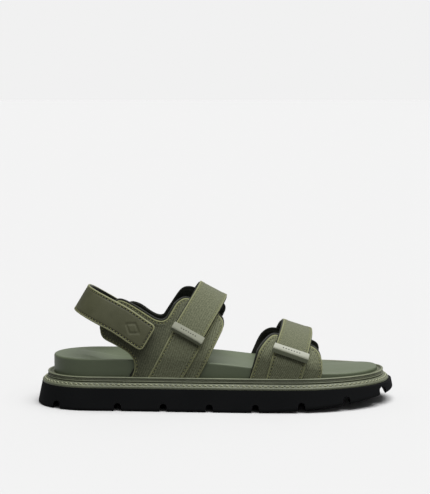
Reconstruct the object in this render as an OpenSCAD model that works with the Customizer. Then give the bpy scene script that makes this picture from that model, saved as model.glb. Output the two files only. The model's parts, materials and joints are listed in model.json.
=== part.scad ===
// Strappy sport sandal for the right foot: a lugged sole unit with a moulded footbed, canvas side
// panels lasted under the footbed, and three straps that close with hook and loop on the outer side.
// +X points to the toe, +Y to the inner side of the foot and +Z up. Millimetres.

/* [Footbed] */
// Length of the footbed from heel to toe
footbed_length = 264; // [230:1:317]
// Width of the footbed across the heel
heel_width = 64; // [54:1:76]
// Outer edge of the footbed at the waist, from the centre line
waist_outer = 38; // [30:1:44]
// Inner edge of the footbed at the waist, from the centre line
waist_inner = 30; // [25:1:38]
// Outer edge of the footbed at the ball, from the centre line
ball_outer = 42.3; // [36:0.1:52]
// Inner edge of the footbed at the ball, from the centre line
ball_inner = 42; // [35:0.1:50]
// Thickness of the footbed at the heel's rim
footbed_heel_t = 16.6; // [12:0.2:20]
// Thickness of the footbed at the ball's rim
footbed_ball_t = 10; // [8:0.5:14]
// Thickness of the footbed at the toe's rim
footbed_toe_t = 5; // [4.8:0.1:8]
// Depth of the heel cup below its rim
cup_depth = 5; // [2:0.5:8]
// Thickness of the footbed's wrapped cover
wrap_t = 1.2; // [0.8:0.1:2]

/* [Sole unit] */
// Thickness of the outsole
outsole_t = 17.4; // [14:0.2:26]
// How far the outsole stands out beyond the footbed at the ground
outsole_reach = 13; // [11:0.5:18]
// How much the outsole narrows from the ground to its top
outsole_flare = 3.3; // [1:0.1:5]
// Rise of the outsole's underside at the toe
toe_rise = 10; // [4:1:13]
// Width of the tread grooves
groove_w = 5.6; // [3:0.2:8]
// Depth of the tread grooves
groove_depth = 6.4; // [3:0.2:8]
// Distance between tread grooves
groove_pitch = 36.3; // [28:0.1:50]
// Thickness of the midsole
midsole_t = 4; // [3:0.5:7]
// Thickness of the insole board
board_t = 1.5; // [1:0.1:2.5]
// Height of the stitched welt
welt_h = 4.2; // [3.4:0.1:7]
// Height of the rand above the welt
rand_h = 4.4; // [3:0.1:5.4]
// Thickness of the rand
rand_w = 2.3; // [1.8:0.1:3]
// Distance between the welt's stitches
stitch_pitch = 4.3; // [3:0.1:6]
// Thickness of the welt's thread
thread_d = 1.1; // [0.6:0.1:1.6]

/* [Upper] */
// Distance from the heel end of the footbed to the instep panel
instep_from_heel = 85; // [75:1:100]
// Height of the instep opening above the heel's rim, along the strap
instep_height = 60.5; // [50:0.5:75]
// Distance from the heel end of the footbed to the forefoot panel
forefoot_from_heel = 190; // [175:1:205]
// Height of the forefoot opening above the ball's rim, along the strap
forefoot_height = 24; // [20:0.5:34]
// Thickness of the canvas shells
canvas_t = 1.2; // [0.8:0.1:1.8]
// Thickness of the padded linings
lining_t = 1.2; // [0.8:0.1:2]
// Thickness of each hook or loop tape
tape_t = 0.7; // [0.4:0.1:1]
// Width of the instep and forefoot straps
strap_w = 24.6; // [20:0.2:32]
// Width of the heel strap
heel_strap_w = 23; // [18:1:28]
// Width of the moulded strap tips
tip_w = 4.2; // [3:0.2:8]
// Thickness of the moulded strap tips
tip_t = 1; // [0.6:0.1:2]

/* [Hidden] */
OUT = -1; // the outer side of the foot
IN = 1; // the inner side of the foot
canvas_col = "#6b6f55";
leather_col = "#4f503a";
lining_col = "#161815";
tip_col = "#a3a790";
sole_green = "#6f725a";
tape_col = "#24261f";

heel_x = -footbed_length / 2;
toe_x = footbed_length / 2;
side_n = 30; // stations along each side of the sole outline
heel_round = heel_width / 2 + 3; // length of the rounded heel end
toe_round_outer = 72; // length over which the outer side curves in to the toe
toe_round_inner = 64; // the same on the inner side
toe_tip_y = 12; // the toe's foremost point, towards the big toe
deck_z = outsole_t + midsole_t + board_t; // underside of the footbed
flange_w = 12; // how far the panels' lasting margins reach in under the footbed
wall_gap = 0.2; // between the footbed's wall and the linings
fit_gap = 0.3; // between pieces that part when a strap opens
seam = 0.12; // room between layers that are sewn or glued together
panel_out = wall_gap + lining_t + canvas_t; // outer face of a side panel
overlay_out = panel_out + seam + canvas_t; // outer face of an overlay
loop_out = overlay_out + seam + tape_t; // outer face of the loop tape on an overlay
welt_in = panel_out + 0.6; // inner edge of the welt
welt_out = outsole_reach - outsole_flare - 0.2; // outer edge of the welt
rand_in = panel_out + 0.2; // inner edge of the rand
rand_reach = rand_in + rand_w; // outer edge of the rand

// ---- small helpers ----
function unit(v) = v / norm(v);
function mix(a, b, f) = a + (b - a) * f;
function clamp(v, lo, hi) = min(max(v, lo), hi);
function smooth(v) = let (c = clamp(v, 0, 1)) c * c * (3 - 2 * c);
function slope(xs, ys, i) =
    i == 0 || i == len(xs) - 1 ? 0 : (ys[i + 1] - ys[i - 1]) / (xs[i + 1] - xs[i - 1]);
// A smooth curve through the stations (xs, ys), level at both ends.
function curve(xs, ys, x) =
    x <= xs[0] ? ys[0] : x >= xs[len(xs) - 1] ? ys[len(xs) - 1] :
    let (i = max([for (k = [0:len(xs) - 2]) if (xs[k] <= x) k]), h = xs[i + 1] - xs[i], f = (x - xs[i]) / h)
    (2 * pow(f, 3) - 3 * f * f + 1) * ys[i] + (pow(f, 3) - 2 * f * f + f) * h * slope(xs, ys, i)
    + (3 * f * f - 2 * pow(f, 3)) * ys[i + 1] + (pow(f, 3) - f * f) * h * slope(xs, ys, i + 1);
// Points between the given ones on a Catmull-Rom spline, with the ends kept.
function refined(p) = [for (i = [0:len(p) - 2]) each
    [p[i], let (a = p[max(i - 1, 0)], b = p[i], c = p[i + 1], d = p[min(i + 2, len(p) - 1)])
           (9 * (b + c) - a - d) / 16], p[len(p) - 1]];

// ---- plan outline of the footbed, and bands that run round it ----
function round_in(d, len, p) = d <= 0 ? 1 : pow(max(0, 1 - pow(min(d / len, 1), p)), 1 / p);
function stations(l) = [-0.5 * l, -0.36 * l, -0.06 * l, 0.22 * l, 0.5 * l];
function full_edge(x, side) = side * curve(stations(footbed_length),
    side == OUT ? [heel_width / 2, heel_width / 2, waist_outer, ball_outer, 0.93 * ball_outer]
                : [heel_width / 2, heel_width / 2, waist_inner, ball_inner, 0.93 * ball_inner], x);
// Y of the footbed's edge at x.
function edge(x, side) =
    x < 0 ? full_edge(x, side) * round_in(heel_x + heel_round - x, heel_round, 2.1) :
    let (len = side == OUT ? toe_round_outer : toe_round_inner)
    mix(toe_tip_y, full_edge(x, side), round_in(x - toe_x + len, len, 2.15));
function station_x(i) = heel_x + footbed_length * (1 - cos(180 * i / side_n)) / 2;
ring = [for (i = [0:side_n]) [station_x(i), edge(station_x(i), OUT)],
        for (i = [side_n - 1:-1:1]) [station_x(i), edge(station_x(i), IN)]];
ring_n = len(ring);
function ring_normal(i) =
    let (d = ring[(i + 1) % ring_n] - ring[(i + ring_n - 1) % ring_n]) unit([d.y, -d.x]);
ring_normals = [for (i = [0:ring_n - 1]) ring_normal(i)];
function outline(off) = [for (i = [0:ring_n - 1]) ring[i] + off * ring_normals[i]];

// Faces over the rings of points that start at index a: their sides, and the cap across a ring.
function ring_sides(count, a) = [for (k = [0:count - 2], i = [0:ring_n - 1])
    let (p = a + k * ring_n + i, q = a + k * ring_n + (i + 1) % ring_n)
    each [[q + ring_n, q, p], [p + ring_n, q + ring_n, p]]];
function ring_cap(a) = let (m = ring_n) [for (i = [0:m / 2 - 1]) each
    i == 0 ? [[a, a + 1, a + m - 1]] : i == m / 2 - 1 ? [[a + i, a + i + 1, a + m - i]]
    : [[a + i, a + i + 1, a + m - i - 1], [a + i, a + m - i - 1, a + m - i]]];
function flipped(faces) = [for (f = faces) [f[2], f[1], f[0]]];

// A solid between closed rings of points, the lowest first, closed below and above.
module loft(rings) {
    polyhedron([for (r = rings) each r],
        concat(ring_sides(len(rings), 0), ring_cap(0), flipped(ring_cap((len(rings) - 1) * ring_n))));
}

// A lid between two such sets of rings, closed above and open below.
module lid(outer, inner) {
    n = len(outer);
    o = n * ring_n;
    foot = [for (i = [0:ring_n - 1]) let (k = (i + 1) % ring_n) each [[i, k, k + o], [i, k + o, i + o]]];
    polyhedron([for (r = concat(outer, inner)) each r],
        concat(ring_sides(n, 0), flipped(ring_cap(o - ring_n)),
               flipped(ring_sides(n, o)), ring_cap(2 * o - ring_n), foot));
}

// A closed band round the sole: profile is a list of [distance outside the footbed, z], counterclockwise.
module band(profile) {
    m = ring_n;
    n = len(profile);
    points = [for (p = profile) each [for (q = outline(p[0])) [q.x, q.y, p[1]]]];
    polyhedron(points, [for (k = [0:n - 1], i = [0:m - 1])
        let (up = ((k + 1) % n) * m, next = (i + 1) % m,
             a = k * m + i, b = k * m + next, c = up + next, d = up + i)
        each [[c, b, a], [d, c, a]]]);
}

// A closed shell between two grids of points.
module shell(outer, inner) {
    n = len(outer);
    m = len(outer[0]);
    o = n * m;
    faces = [for (i = [0:n - 2], j = [0:m - 2])
        let (a = i * m + j, b = a + m, c = b + 1, d = a + 1)
        each [[a, b, c], [a, c, d], [c + o, b + o, a + o], [d + o, c + o, a + o]]];
    rows = [for (j = [0:m - 2]) let (b = (n - 1) * m + j)
        each [[j, j + 1, j + 1 + o], [j, j + 1 + o, j + o], [b + 1, b, b + o], [b + 1, b + o, b + 1 + o]]];
    cols = [for (i = [0:n - 2]) let (a = i * m, d = a + m - 1)
        each [[a + m, a, a + o], [a + m, a + o, a + m + o], [d, d + m, d + m + o], [d, d + m + o, d + o]]];
    polyhedron(concat([for (r = inner) each r], [for (r = outer) each r]), concat(faces, rows, cols));
}

// ---- sole unit ----
outsole_half = footbed_length / 2 + outsole_reach;
rocker_x = 20; // where the underside leaves the ground
function lift(x) = toe_rise * pow(max(0, (x - rocker_x) / (outsole_half - rocker_x)), 1.6);
function sole_ring(off, up) = [for (p = outline(off)) [p.x, p.y, up + lift(p.x)]];
groove_row = [for (i = [0:5]) 66.8 - outsole_half + i * groove_pitch];
grooves = concat([17.5 - outsole_half], groove_row, [outsole_half - 10.5]);

module groove(x) {
    top = lift(x) + groove_depth;
    translate([x - groove_w / 2, -90, -5]) cube([groove_w, 180, 5 + top - groove_w / 2]);
    translate([x, 0, top - groove_w / 2]) rotate([90, 0, 0])
        cylinder(d = groove_w, h = 180, center = true, $fn = 32);
}

module outsole() {
    color("#1b1c1d") difference() {
        loft([sole_ring(outsole_reach - 1.3, 0), sole_ring(outsole_reach, 1.8),
              [for (p = outline(outsole_reach - outsole_flare)) [p.x, p.y, outsole_t]]]);
        for (x = grooves) groove(x);
    }
}

// Room in the midsole's top for a panel's lasting margin.
module margin_pocket(x_range, side) {
    translate([0, 0, outsole_t + midsole_t - flange_t - 0.1]) linear_extrude(flange_t + 1) intersection() {
        difference() {
            polygon(outline(welt_in));
            polygon(outline(-flange_w - 1));
        }
        translate([x_range[0] - 1, side == OUT ? -90 : 0]) square([x_range[1] - x_range[0] + 2, 90]);
    }
}

module midsole() {
    color("#3b3d35") difference() {
        translate([0, 0, outsole_t]) linear_extrude(midsole_t) polygon(outline(welt_in - 0.1));
        margin_pocket(quarter_x, OUT);
        margin_pocket(quarter_x, IN);
        margin_pocket(vamp_x, OUT);
        margin_pocket(vamp_x, IN);
    }
}

module insole_board() {
    color("#a58d63") translate([0, 0, outsole_t + midsole_t]) linear_extrude(board_t) polygon(outline(-0.3));
}

stitch_off = rand_reach + 2.2; // the stitch row's distance from the footbed
welt_rim = welt_h - 2; // height of the welt's outer edge
thread_sunk = 0.5; // depth of the channel that the thread lies in
function welt_top(off) =
    outsole_t + mix(welt_h, welt_rim, (off - rand_reach) / (welt_out - 1.2 - rand_reach));

module welt() {
    z = outsole_t;
    channel = thread_d / 2 + 0.1;
    color(sole_green) band([[welt_in, z], [welt_out - 0.2, z], [welt_out, z + welt_rim * 0.4],
        [welt_out - 0.3, z + welt_rim * 0.8], [welt_out - 1.2, z + welt_rim],
        [stitch_off + channel, welt_top(stitch_off + channel)],
        [stitch_off + channel, welt_top(stitch_off) - thread_sunk],
        [stitch_off - channel, welt_top(stitch_off) - thread_sunk],
        [stitch_off - channel, welt_top(stitch_off - channel)],
        [rand_reach, z + welt_h], [welt_in, z + welt_h]]);
}

// The thread of the welt: one short stitch lying along the outline at each step.
stitch_line = outline(stitch_off);
stitch_at = [for (i = 0, s = 0; i < ring_n;
                  s = s + norm(stitch_line[(i + 1) % ring_n] - stitch_line[i]), i = i + 1) s];
stitch_run = stitch_at[ring_n - 1] + norm(stitch_line[0] - stitch_line[ring_n - 1]);
function on_stitch_line(s) =
    let (i = max([for (k = [0:ring_n - 1]) if (stitch_at[k] <= s) k]),
         a = stitch_line[i], b = stitch_line[(i + 1) % ring_n])
    [a + (s - stitch_at[i]) * unit(b - a), b - a];

module welt_stitching() {
    count = floor(stitch_run / stitch_pitch);
    color("#8c8f72") for (k = [0:count - 1]) {
        at = on_stitch_line((k + 0.5) * stitch_run / count);
        translate([at[0].x, at[0].y, welt_top(stitch_off) - thread_sunk + thread_d / 2])
            rotate([0, 90, atan2(at[1].y, at[1].x)])
            cylinder(d = thread_d, h = 0.8 * stitch_pitch, center = true, $fn = 24);
    }
}

module rand() {
    z = outsole_t + welt_h;
    color(sole_green) band([[rand_in, z], [rand_reach, z], [rand_reach, z + rand_h * 0.75],
        [rand_reach - 0.4, z + rand_h * 0.93], [rand_reach - 1.1, z + rand_h], [rand_in, z + rand_h]]);
}

// ---- footbed ----
rim_stations = [-0.40 * footbed_length, -0.03 * footbed_length, 0.14 * footbed_length,
                0.37 * footbed_length, 0.5 * footbed_length];
waist_t = footbed_heel_t - 1.8;
// Height of the footbed's rim above its underside; the inner side is lower under the big toe's joint.
function rim(x, side) = curve(rim_stations,
    [footbed_heel_t, waist_t, footbed_ball_t + (side == OUT ? 0.7 : -1),
     footbed_toe_t + (side == OUT ? 0.6 : -1.9), footbed_toe_t], x);
dish_stations = [heel_x, heel_x + 38, heel_x + 110, heel_x + 170, toe_x - 40, toe_x];
function dish(x) = curve(dish_stations, [0, cup_depth, 3.4, 2.2, 1.2, 0], x);
// Rows of the footbed's surface: distance in from its edge, share of the dish reached, height below the rim.
bed_rows = [[0, 0, 100], [0, 0, 1], [0.9, 0, 0], [3.6, 0.1, 0], [8, 0.45, 0], [14, 0.82, 0], [21, 1, 0]];
function bed_row(r, inset) = [for (p = ring)
    let (mid = (edge(p.x, OUT) + edge(p.x, IN)) / 2, d = r[0] + inset,
         sides = (rim(p.x, OUT) + rim(p.x, IN)) / 2,
         z = mix(rim(p.x, p.y < mid ? OUT : IN), sides, r[1]) - dish(p.x) * r[1] - r[2] - inset)
    [p.x * (1 - 2 * d / footbed_length), mid + (p.y - mid) * (1 - d / waist_outer), deck_z + max(0, z)]];
function bed_skin(inset) = [for (r = bed_rows) bed_row(r, inset)];

module footbed_core() { color("#2c2e2a") loft(bed_skin(wrap_t + 0.02)); }
module footbed_cover() { color("#7c8471") lid(bed_skin(0), bed_skin(wrap_t)); }

// ---- the shape of the foot, which the panels and straps lie on ----
// A form is [x, z of its base point, lean of the strap, slope of the strap's width, height, roundness,
// ridge shift].
INSTEP = [heel_x + instep_from_heel, deck_z + footbed_heel_t + 0.5, 31, 28, instep_height, 1.8, 4];
FORE = [heel_x + forefoot_from_heel, deck_z + footbed_ball_t + 0.5, 15, 18, forefoot_height, 2, 2];
// t runs along the strap's width, towards the toe, and h along the strap's length, upwards.
function form_x(g, t, h) = g[0] + t * cos(g[3]) + h * sin(g[2]);
function form_z(g, t, h) = g[1] - t * sin(g[3]) + h * cos(g[2]);
function h_at(g, t, z) = (z - g[1] + t * sin(g[3])) / cos(g[2]);
rim_clear = 1.2; // the form stands upright this far above the footbed's rim
bend_ease = 20; // how gently the form leaves the upright
function bend_h(g, t) = let (x = form_x(g, t, 0), a = h_at(g, t, deck_z + rim(x, OUT) + rim_clear))
    (a + sqrt(a * a + bend_ease)) / 2;
function form_q(g, t, h) = let (b = bend_h(g, t)) clamp((h - b) / (g[4] - b), 0, 1);
function form(g, side, t, h) = let (q = form_q(g, t, h), x = form_x(g, t, h))
    [x, edge(x, side) * pow(max(0, 1 - pow(q, g[5])), 1 / g[5]) + g[6] * q, form_z(g, t, h)];
// The same surface by angle: 0 on the outer side, 90 on the ridge and 180 on the inner side.
function form_over(g, t, a) =
    let (b = bend_h(g, t), q = pow(sin(a), 2 / g[5]), h = b + (g[4] - b) * q, x = form_x(g, t, h))
    [x, edge(x, a < 90 ? OUT : IN) * pow(abs(cos(a)), 2 / g[5]) + g[6] * q, form_z(g, t, h)];
function angle_at(g, side, t, h) = let (a = asin(pow(form_q(g, t, h), g[5] / 2))) side == OUT ? a : 180 - a;
function lifted(p, pt, ph, off) = p + off * unit(cross(pt - p, ph - p));
function on_form(g, side, t, h, off) =
    lifted(form(g, side, t, h), form(g, side, t + 0.2, h), form(g, side, t, h + 0.2), -side * off);
function over_form(g, t, a, off) =
    lifted(form_over(g, t, a), form_over(g, t + 0.2, a), form_over(g, t, a + 0.4), off);

// ---- side panels ----
// A panel is a list of columns [[t, h] at the bottom, [t, h] at the top]; h = SOLE stands for the sole line.
SOLE = -999;
flange_t = canvas_t; // thickness of the lasting margins
sole_line = outsole_t + midsole_t; // top of the lasting margins
margin_z = sole_line - flange_t; // underside of the lasting margins
function foot_of(g, p, z) = p[1] == SOLE ? [p[0], h_at(g, p[0], z)] : p;
panel_rows = 10;
row_step = 0.4; // least distance between rows, where a layer starts above the sole line
// Grid of one face of a panel: off is its distance from the form, z its lower end.
// All layers share their rows.
function panel_face(g, side, cols, off, z) =
    [for (c = cols) let (foot = foot_of(g, c[0], z)) [for (j = [0:panel_rows])
        let (p = j == 0 ? foot : mix(foot_of(g, c[0], sole_line), c[1], j / panel_rows),
             h = c[0][1] == SOLE ? max(p[1], foot[1] + j * row_step) : p[1])
        on_form(g, side, p[0], h, off)]];
// The same face with the lasting margin turned in under the footbed at height z.
function lasted_face(g, side, cols, off, z) =
    let (face = panel_face(g, side, cols, off, z))
    [for (i = [0:len(cols) - 1])
        let (f = face[i], lasted = i > 0 && cols[i][0][1] == SOLE && cols[i - 1][0][1] == SOLE)
        concat(lasted ? [[f[0].x, f[0].y - side * (off + flange_w), z], f[0]] : [f[0], mix(f[0], f[1], 0.02)],
               [for (j = [1:panel_rows]) f[j]])];

// Columns with points between them, where the sole line is straight.
below_sole = -27;
function refined_cols(cols) =
    let (lo = refined([for (c = cols) c[0][1] == SOLE ? [c[0][0], below_sole] : c[0]]),
         hi = refined([for (c = cols) c[1]]))
    [for (i = [0:len(lo) - 1])
        let (k = floor(i / 2), here = cols[k][0], next = cols[min(k + 1, len(cols) - 1)][0],
             sole = i % 2 == 0 ? here[1] == SOLE : here[1] == SOLE && next[1] == SOLE)
        [sole ? [i % 2 == 0 ? here[0] : (here[0] + next[0]) / 2, SOLE] : lo[i], hi[i]]];

// The quarter: an arm that runs back to the heel strap, and a lobe under the instep strap.
// back is the arm's rear end, top and low its edges, lobe the lobe's height and front its front edge.
arm_front = -17; // front end of the arm's straight part
function quarter_cols(back, top, low, lobe, front) = refined_cols([
    [[back, low + 10], [back, top - 7]], [[back + 1.5, low + 4.5], [back + 1.8, top - 2]],
    [[back + 7, low], [back + 7, top - 0.3]],
    [[mix(back, arm_front, 0.5), low - 0.3], [mix(back, arm_front, 0.5), top - 0.4]],
    [[-23.5, low - 0.7], [-23, top - 1.2]], [[arm_front, low - 3], [-16.5, top - 1.3]],
    [[-13, low - 7], [-11.4, top + 0.5]], [[-11, low - 11], [-8.9, top + 5]],
    [[-10.2, low - 15], [-9, top + 13]], [[-9.6, SOLE], [-8.6, lobe - 6.5]],
    [[-3, SOLE], [-5, lobe - 1.4]], [[4, SOLE], [2, lobe]],
    [[14, SOLE], [13, lobe]], [[25, SOLE], [26 + front / 2, lobe - 0.8]],
    [[33, SOLE], [31.6 + front, lobe - 3.8]], [[36, SOLE], [33.6 + front, lobe - 8.5]]]);
outer_cols = quarter_cols(-52, 27.4, -5.4, instep_height - 9.3, 0);
inner_cols = quarter_cols(-40.5, 22.4, -9, instep_height - 3.5, -1.8);
function sole_span(g, cols) =
    [for (c = cols) if (c[0][1] == SOLE) form_x(g, c[0][0], h_at(g, c[0][0], margin_z))];
quarter_span = concat(sole_span(INSTEP, outer_cols), sole_span(INSTEP, inner_cols));
quarter_x = [min(quarter_span), max(quarter_span)];

// The vamp: one lobe under the forefoot strap.
outer_vamp_cols = refined_cols([
    [[-28.5, SOLE], [-27.2, 5]], [[-27.5, SOLE], [-25, 10.5]], [[-22, SOLE], [-21, 16]],
    [[-14, SOLE], [-15.5, 18.5]], [[0, SOLE], [0, 18.9]], [[12, SOLE], [13.5, 18.4]],
    [[20, SOLE], [19.6, 16.2]], [[24.2, SOLE], [23.4, 11.5]], [[25.2, SOLE], [25.4, 4]]]);
inner_vamp_cols = refined_cols([
    [[-27, SOLE], [-23.6, 2]], [[-26, SOLE], [-21.8, 8.5]], [[-20, SOLE], [-18, 13.6]],
    [[-12, SOLE], [-12, 15.6]], [[0, SOLE], [0, 15.8]], [[12, SOLE], [14, 15]],
    [[22, SOLE], [23, 13.6]], [[25.6, SOLE], [26.8, 9.6]], [[26.6, SOLE], [28, 4.5]]]);
vamp_span = concat(sole_span(FORE, outer_vamp_cols), sole_span(FORE, inner_vamp_cols));
vamp_x = [min(vamp_span), max(vamp_span)];

module lasted_panel(g, side, cols) {
    out = lasted_face(g, side, cols, panel_out, margin_z);
    in = lasted_face(g, side, cols, panel_out - canvas_t, sole_line);
    if (side == OUT) shell(out, in); else shell(in, out);
}

module panel_lining(g, side, cols) {
    z = sole_line + 0.4;
    out = panel_face(g, side, cols, panel_out - canvas_t, z);
    in = panel_face(g, side, cols, wall_gap, z);
    if (side == OUT) shell(out, in); else shell(in, out);
}

module outer_quarter() { color(canvas_col) lasted_panel(INSTEP, OUT, outer_cols); }
module inner_quarter() { color(canvas_col) lasted_panel(INSTEP, IN, inner_cols); }
module outer_quarter_lining() { color(lining_col) panel_lining(INSTEP, OUT, outer_cols); }
module inner_quarter_lining() { color(lining_col) panel_lining(INSTEP, IN, inner_cols); }
module outer_vamp() { color(canvas_col) lasted_panel(FORE, OUT, outer_vamp_cols); }
module inner_vamp() { color(canvas_col) lasted_panel(FORE, IN, inner_vamp_cols); }
module outer_vamp_lining() { color(lining_col) panel_lining(FORE, OUT, outer_vamp_cols); }
module inner_vamp_lining() { color(lining_col) panel_lining(FORE, IN, inner_vamp_cols); }

// ---- straps over the instep and the forefoot ----
// A strap is [form, t at its middle, h of its free end, h of its hinge line on the inner side, skew, flare].
// Towards its free end it swings back by the skew, and its rear edge widens by the flare.
INSTEP_STRAP = [INSTEP, 12.1, 24, instep_height - 15, 0.3, 1.2];
FORE_STRAP = [FORE, 0, 6.3, forefoot_height - 8.5, 2.5, 2.3];
// How much closer the strap lies on the inner side, where no tapes lie under it.
strap_drop = loop_out + tape_t + seam - panel_out;
// Distance of the strap from its outer-side height over the form: it comes down towards the inner side.
function strap_off(a, off) = off - strap_drop * smooth((a - 60) / 70);
// t of a strap's grid line f, from 0 at its rear edge to 1 at its front edge, at angle a.
function strap_t(s, f, a, inset = 0) =
    s[1] + (strap_w - 2 * inset) * (f - 0.5) - (s[4] + s[5] * (1 - f)) * (a < 90 ? pow(1 - sin(a), 0.7) : 0);
function on_strap(s, f, side, h, off, inset = 0) =
    let (a0 = angle_at(s[0], side, s[1], h), t = strap_t(s, f, a0, inset), a = angle_at(s[0], side, t, h))
    over_form(s[0], t, a, strap_off(a, off));
function strap_face(s, n, m, from_h, to_h, to_side, off) =
    [for (i = [0:n])
        let (f = i / n, ta = strap_t(s, f, angle_at(s[0], OUT, s[1], from_h)), tb = strap_t(s, f, 90),
             a0 = angle_at(s[0], OUT, ta, from_h), a1 = angle_at(s[0], to_side, tb, to_h))
        [for (j = [0:m]) let (a = mix(a0, a1, j / m))
            over_form(s[0], strap_t(s, f, a), a, strap_off(a, off))]];
hook_in = loop_out + fit_gap;
strap_lining_in = hook_in + tape_t + seam;
strap_in = strap_lining_in + 0.75 * lining_t;
strap_out = strap_in + canvas_t;
lip = 2; // length of the moulded lip beyond the strap's end
tip_over = 1.2; // how far the moulded tip stands out beyond the strap's edges
tape_l = 23; // length of the instep strap's hook and loop tapes
fore_tape_l = 7; // length of the forefoot strap's tapes
tape_inset = 2.5; // the tapes' distance from the strap's edges

module strap_layer(s, in, out) {
    shell(strap_face(s, 4, 22, s[2] + lip, s[3], IN, out), strap_face(s, 4, 22, s[2] + lip, s[3], IN, in));
}

// A patch under the strap's outer-side end, inset from its edges.
module strap_patch(s, in, out, l) {
    faces = [for (off = [out, in]) [for (i = [0:4]) [for (j = [0:6])
        on_strap(s, i / 4, OUT, s[2] + lip + 0.5 + l * j / 6, off, tape_inset)]]];
    shell(faces[0], faces[1]);
}

// The moulded end: a lip beyond the strap's end and a raised tab on top of it, w along the strap's height.
module strap_tip(s, w) {
    h = s[2] + lip;
    out = concat([[s[2], strap_lining_in + 0.6]],
        [for (k = [0:4]) [h + mix(-0.4, w, k / 4), strap_out + tip_t]]);
    in = concat([[s[2], strap_lining_in], [h - 0.1, strap_lining_in]],
        [for (k = [0:3]) [h + mix(-0.1, w, k / 3), strap_out + seam]]);
    color(tip_col) shell([for (i = [0:6]) [for (p = out) on_strap(s, i / 6, OUT, p[0], p[1], -tip_over)]],
        [for (i = [0:6]) [for (p = in) on_strap(s, i / 6, OUT, p[0], p[1], -tip_over)]]);
}

module instep_strap() { color(canvas_col) strap_layer(INSTEP_STRAP, strap_in, strap_out); }
module forefoot_strap() { color(canvas_col) strap_layer(FORE_STRAP, strap_in, strap_out); }
module instep_strap_lining() {
    color(lining_col) strap_layer(INSTEP_STRAP, strap_lining_in, strap_in);
}
module forefoot_strap_lining() {
    color(lining_col) strap_layer(FORE_STRAP, strap_lining_in, strap_in);
}
module instep_hook_tape() {
    color(tape_col) strap_patch(INSTEP_STRAP, hook_in, hook_in + tape_t, tape_l);
}
module forefoot_hook_tape() {
    color(tape_col) strap_patch(FORE_STRAP, hook_in, hook_in + tape_t, fore_tape_l);
}
module instep_strap_tip() { strap_tip(INSTEP_STRAP, tip_w); }
// The strap lies flatter over the forefoot, so the same width takes up less height.
module forefoot_strap_tip() { strap_tip(FORE_STRAP, tip_w * 0.55); }

// Overlays: the strips that carry the loop tape on the outer side, and the straps' sewn ends on the
// inner side.
overlay_w = strap_w + 2.4; // width of the overlays and of the straps' sewn ends
// taper is how far the rear edge runs forward from the top to the sole.
module overlay(s, side, top, off, thick, taper = 0) {
    mid = s[1] - (side == OUT ? s[4] : 0);
    cols = [for (i = [0:6]) let (t = mid + overlay_w * (i / 6 - 0.5))
        [[t + taper * (1 - i / 6), SOLE], [t, top]]];
    z = outsole_t + welt_h + rand_h + 0.2;
    out = panel_face(s[0], side, cols, off + thick, z);
    in = panel_face(s[0], side, cols, off, z);
    if (side == OUT) shell(out, in); else shell(in, out);
}
module outer_instep_overlay() {
    top = INSTEP_STRAP[2] + lip + tape_l + 1.5;
    color(canvas_col) overlay(INSTEP_STRAP, OUT, top, panel_out + seam, canvas_t, 3.2);
}
module outer_vamp_overlay() {
    top = FORE_STRAP[2] + lip + fore_tape_l + 1;
    color(canvas_col) overlay(FORE_STRAP, OUT, top, panel_out + seam, canvas_t);
}
base_gap = 0.4; // between a strap's sewn end and its free part
base_t = strap_out - strap_lining_in;
module strap_base(s) {
    color(canvas_col) overlay(s, IN, s[3] - base_gap, panel_out + seam, base_t);
}
module instep_strap_base() { strap_base(INSTEP_STRAP); }
module forefoot_strap_base() { strap_base(FORE_STRAP); }
module instep_loop_tape() {
    color(tape_col) strap_patch(INSTEP_STRAP, overlay_out + seam, loop_out, tape_l);
}
module forefoot_loop_tape() {
    color(tape_col) strap_patch(FORE_STRAP, overlay_out + seam, loop_out, fore_tape_l);
}

// ---- heel strap ----
heel_front_t = -14; // its free end on the outer side
heel_turn_t = -46; // where it leaves the quarter and turns round the heel
heel_base_t = -19; // front end of its sewn part on the inner side
heel_back = 28; // from the heel end of the footbed to the back of the strap
// Height of the middle of its width at v, which goes 0 to 1 on the outer side, to 2 round the heel
// and to 3 inside.
function heel_h(v) = curve([0, 1, 1.5, 2, 3], [11.9, 14.2, 11.2, 6.5, 5.8], v);
heel_reach = (form_x(INSTEP, heel_turn_t, heel_h(1.5)) - heel_x - heel_back) / cos(INSTEP[3]);
heel_gap = 0.5; // between the heel strap's hook tape and the loop tape
heel_loop_out = panel_out + seam + tape_t;
heel_hook_in = heel_loop_out + heel_gap;
heel_lining_in = heel_hook_in + tape_t + seam;
heel_in = heel_lining_in + 0.8 * lining_t;
heel_out = heel_in + canvas_t;
heel_step = heel_lining_in - panel_out - seam; // how much closer it lies on the inner side
// Point of the heel strap at v, w above the middle of its width.
function heel_point(v, w, off) =
    let (a = clamp(v - 1, 0, 1) * 180, side = v < 1.5 ? OUT : IN,
         o = off - heel_step * smooth((v - 1.3) / 0.5), h = heel_h(v) + w,
         straight = mix(heel_front_t, heel_turn_t, min(v, 1)),
         t = straight - (v > 1 && v < 2 ? (heel_reach + o) * pow(sin(a), 0.9) : 0),
         y = form(INSTEP, side, straight, h).y + side * o)
    [form_x(INSTEP, t, h), y * (v > 1 && v < 2 ? pow(abs(cos(a)), 0.9) : 1), form_z(INSTEP, t, h)];
heel_corner = 4; // radius of the free end's corners
function corner_half(d, half) = d >= heel_corner ? half :
    half - heel_corner + sqrt(max(0, pow(heel_corner, 2) - pow(heel_corner - d, 2)));
heel_v = [0, 0.015, 0.04, 0.08, 0.13, 0.35, 0.6, 0.85, 1, each [for (i = [1:18]) 1 + i / 18]];
function heel_face(vs, half, off) =
    [for (v = vs) let (k = corner_half(v * (heel_front_t - heel_turn_t), half))
        [for (i = [0:4]) heel_point(v, k * (i / 2 - 1), off)]];

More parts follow.
